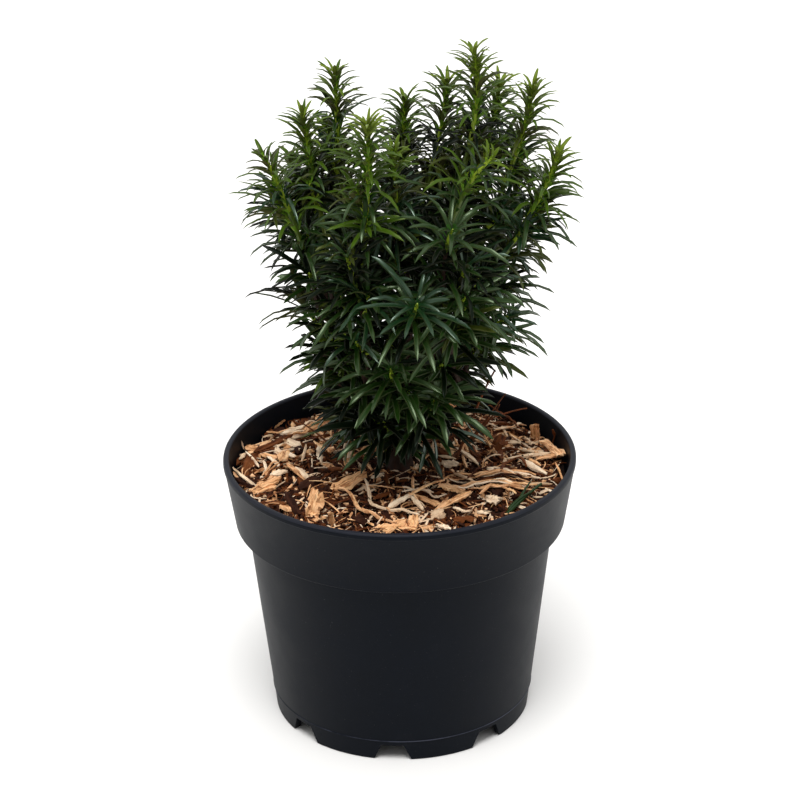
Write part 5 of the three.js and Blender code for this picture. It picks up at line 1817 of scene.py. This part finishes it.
class YEW_OT_litter(bpy.types.Operator):
    """Lay dry twigs at the plant's foot and a green sprig by the wall"""

    bl_idname = "yew.litter"
    bl_label = "Litter"

    def execute(self, context):
        plant = context.scene.yew_plant
        dry = bark_finish("dry_twig", tuple(plant.dry))
        sprig = plain_finish("fallen_sprig", tuple(plant.fallen), roughness=0.4, specular=0.3)
        for kind, finish, slot in [("dry", dry, "bark"), ("sprig", sprig, "foliage")]:
            paths = [
                Path(bezier(np.array(item.course) * MM), item.foot * MM, item.tip * MM)
                for item in LITTER
                if item.kind == kind
            ]
            mesh = joined([bark_tube(path, path.radius_at, *LITTER_MESH) for path in paths], kind)
            smooth(mesh, degrees=70)
            add_piece(f"litter_{kind}", mesh, [finish])
        return {"FINISHED"}


# Stage


FLOOR_Z = -0.1 * MM
# The light from all round is weakest from the direction whose Y is the first of these, and full
# from where it is the second.
DARKEST = -1.0
BRIGHTEST = -0.1


class YEW_OT_stage(bpy.types.Operator):
    """Set the floor, the lights and the camera"""

    bl_idname = "yew.stage"
    bl_label = "Stage"

    def execute(self, context):
        scene = context.scene
        stage = scene.yew_stage
        self.add_floor(scene, stage)
        self.add_surround(scene, stage)
        self.add_key(scene, stage)
        self.add_camera(scene, stage)
        scene.view_settings.view_transform = "Standard"
        scene.view_settings.look = "None"
        return {"FINISHED"}

    def add_floor(self, scene, stage):
        """A plain pale floor."""
        half = stage.floor_size / 2
        corners = [(x, y, FLOOR_Z) for x, y in ((-half, -half), (half, -half), (half, half), (-half, half))]
        mesh = bpy.data.meshes.new("floor")
        mesh.from_pydata(corners, [], [(0, 1, 2, 3)])
        floor = bpy.data.objects.new("floor", mesh)
        scene.collection.objects.link(floor)
        mesh.materials.append(plain_finish("pale_floor", tuple(stage.floor), roughness=0.85, specular=0.2))

    def add_surround(self, scene, stage):
        """Light from all round, weaker from the camera's side."""
        world = bpy.data.worlds.new("surround")
        scene.world = world
        world.use_nodes = True
        nodes, links = world.node_tree.nodes, world.node_tree.links
        background = nodes["Background"]
        place = nodes.new("ShaderNodeTexCoord")
        split = nodes.new("ShaderNodeSeparateXYZ")
        ramp = nodes.new("ShaderNodeMapRange")
        ramp.inputs["From Min"].default_value = DARKEST
        ramp.inputs["From Max"].default_value = BRIGHTEST
        ramp.inputs["To Min"].default_value = stage.front_shade * stage.surround
        ramp.inputs["To Max"].default_value = stage.surround
        path = nodes.new("ShaderNodeLightPath")
        seen = nodes.new("ShaderNodeMix")
        seen.inputs[NUMBER_B].default_value = 1.0
        links.new(place.outputs["Generated"], split.inputs["Vector"])
        links.new(split.outputs["Y"], ramp.inputs["Value"])
        links.new(path.outputs["Is Camera Ray"], seen.inputs["Factor"])
        links.new(ramp.outputs["Result"], seen.inputs[NUMBER_A])
        links.new(seen.outputs[NUMBER_RESULT], background.inputs["Strength"])
        background.inputs["Color"].default_value = (1, 1, 1, 1)

    def add_key(self, scene, stage):
        """A broad light overhead that leans a little to the front."""
        light = bpy.data.lights.new("key_light", "SUN")
        light.energy = stage.key
        light.angle = stage.key_spread
        lamp = bpy.data.objects.new("key_light", light)
        away = Vector((math.cos(stage.key_turn), math.sin(stage.key_turn), 0)) * math.sin(stage.key_tilt)
        towards = away + Vector((0, 0, math.cos(stage.key_tilt)))
        lamp.rotation_euler = towards.to_track_quat("Z", "Y").to_euler()
        scene.collection.objects.link(lamp)

    def add_camera(self, scene, stage):
        """The camera, level but for its roll, looking down at its target from the front."""
        camera = bpy.data.cameras.new("camera")
        camera.lens = stage.lens
        camera.sensor_width = 36
        camera.clip_end = 50
        holder = bpy.data.objects.new("camera", camera)
        target = Vector((stage.target_x, 0, stage.target_z))
        back = Vector((0, -math.cos(stage.elevation), math.sin(stage.elevation)))
        level = Vector((1, 0, 0))
        rise = back.cross(level)
        right = level * math.cos(stage.roll) + rise * math.sin(stage.roll)
        upright = rise * math.cos(stage.roll) - level * math.sin(stage.roll)
        turned = Matrix((right, upright, back)).transposed().to_4x4()
        holder.matrix_world = Matrix.Translation(target + back * stage.distance) @ turned
        scene.collection.objects.link(holder)
        scene.camera = holder


OPERATORS = [
    YEW_OT_pot,
    YEW_OT_mulch_bed,
    YEW_OT_chips,
    YEW_OT_crumbs,
    YEW_OT_limbs,
    YEW_OT_stems,
    YEW_OT_needles,
    YEW_OT_litter,
    YEW_OT_stage,
]
SETTINGS = {
    "yew_pot": YewPotSettings,
    "yew_mulch": YewMulchSettings,
    "yew_plant": YewPlantSettings,
    "yew_stage": YewStageSettings,
}


class YEW_PT_panel(bpy.types.Panel):
    """The pieces of the potted yew and their settings"""

    bl_idname = "YEW_PT_panel"
    bl_label = "Potted yew"
    bl_space_type = "VIEW_3D"
    bl_region_type = "UI"
    bl_category = "Yew"

    def draw(self, context):
        for operator in OPERATORS:
            self.layout.operator(operator.bl_idname)
        for name, group in SETTINGS.items():
            box = self.layout.box()
            box.label(text=group.__doc__)
            for setting in group.__annotations__:
                box.prop(getattr(context.scene, name), setting)


def register():
    """Registers the settings, the operators and the panel."""
    for group in [*SETTINGS.values(), *OPERATORS, YEW_PT_panel]:
        bpy.utils.register_class(group)
    for name, group in SETTINGS.items():
        setattr(bpy.types.Scene, name, PointerProperty(type=group))


def unregister():
    """Takes them away again."""
    for name in SETTINGS:
        delattr(bpy.types.Scene, name)
    for group in reversed([*SETTINGS.values(), *OPERATORS, YEW_PT_panel]):
        bpy.utils.unregister_class(group)


def main():
    """Makes every piece and the stage."""
    register()
    bpy.ops.yew.pot()
    bpy.ops.yew.mulch_bed()
    bpy.ops.yew.chips()
    bpy.ops.yew.crumbs()
    bpy.ops.yew.limbs()
    bpy.ops.yew.stems()
    bpy.ops.yew.needles()
    bpy.ops.yew.litter()
    bpy.ops.yew.stage()


if __name__ == "__main__":
    main()
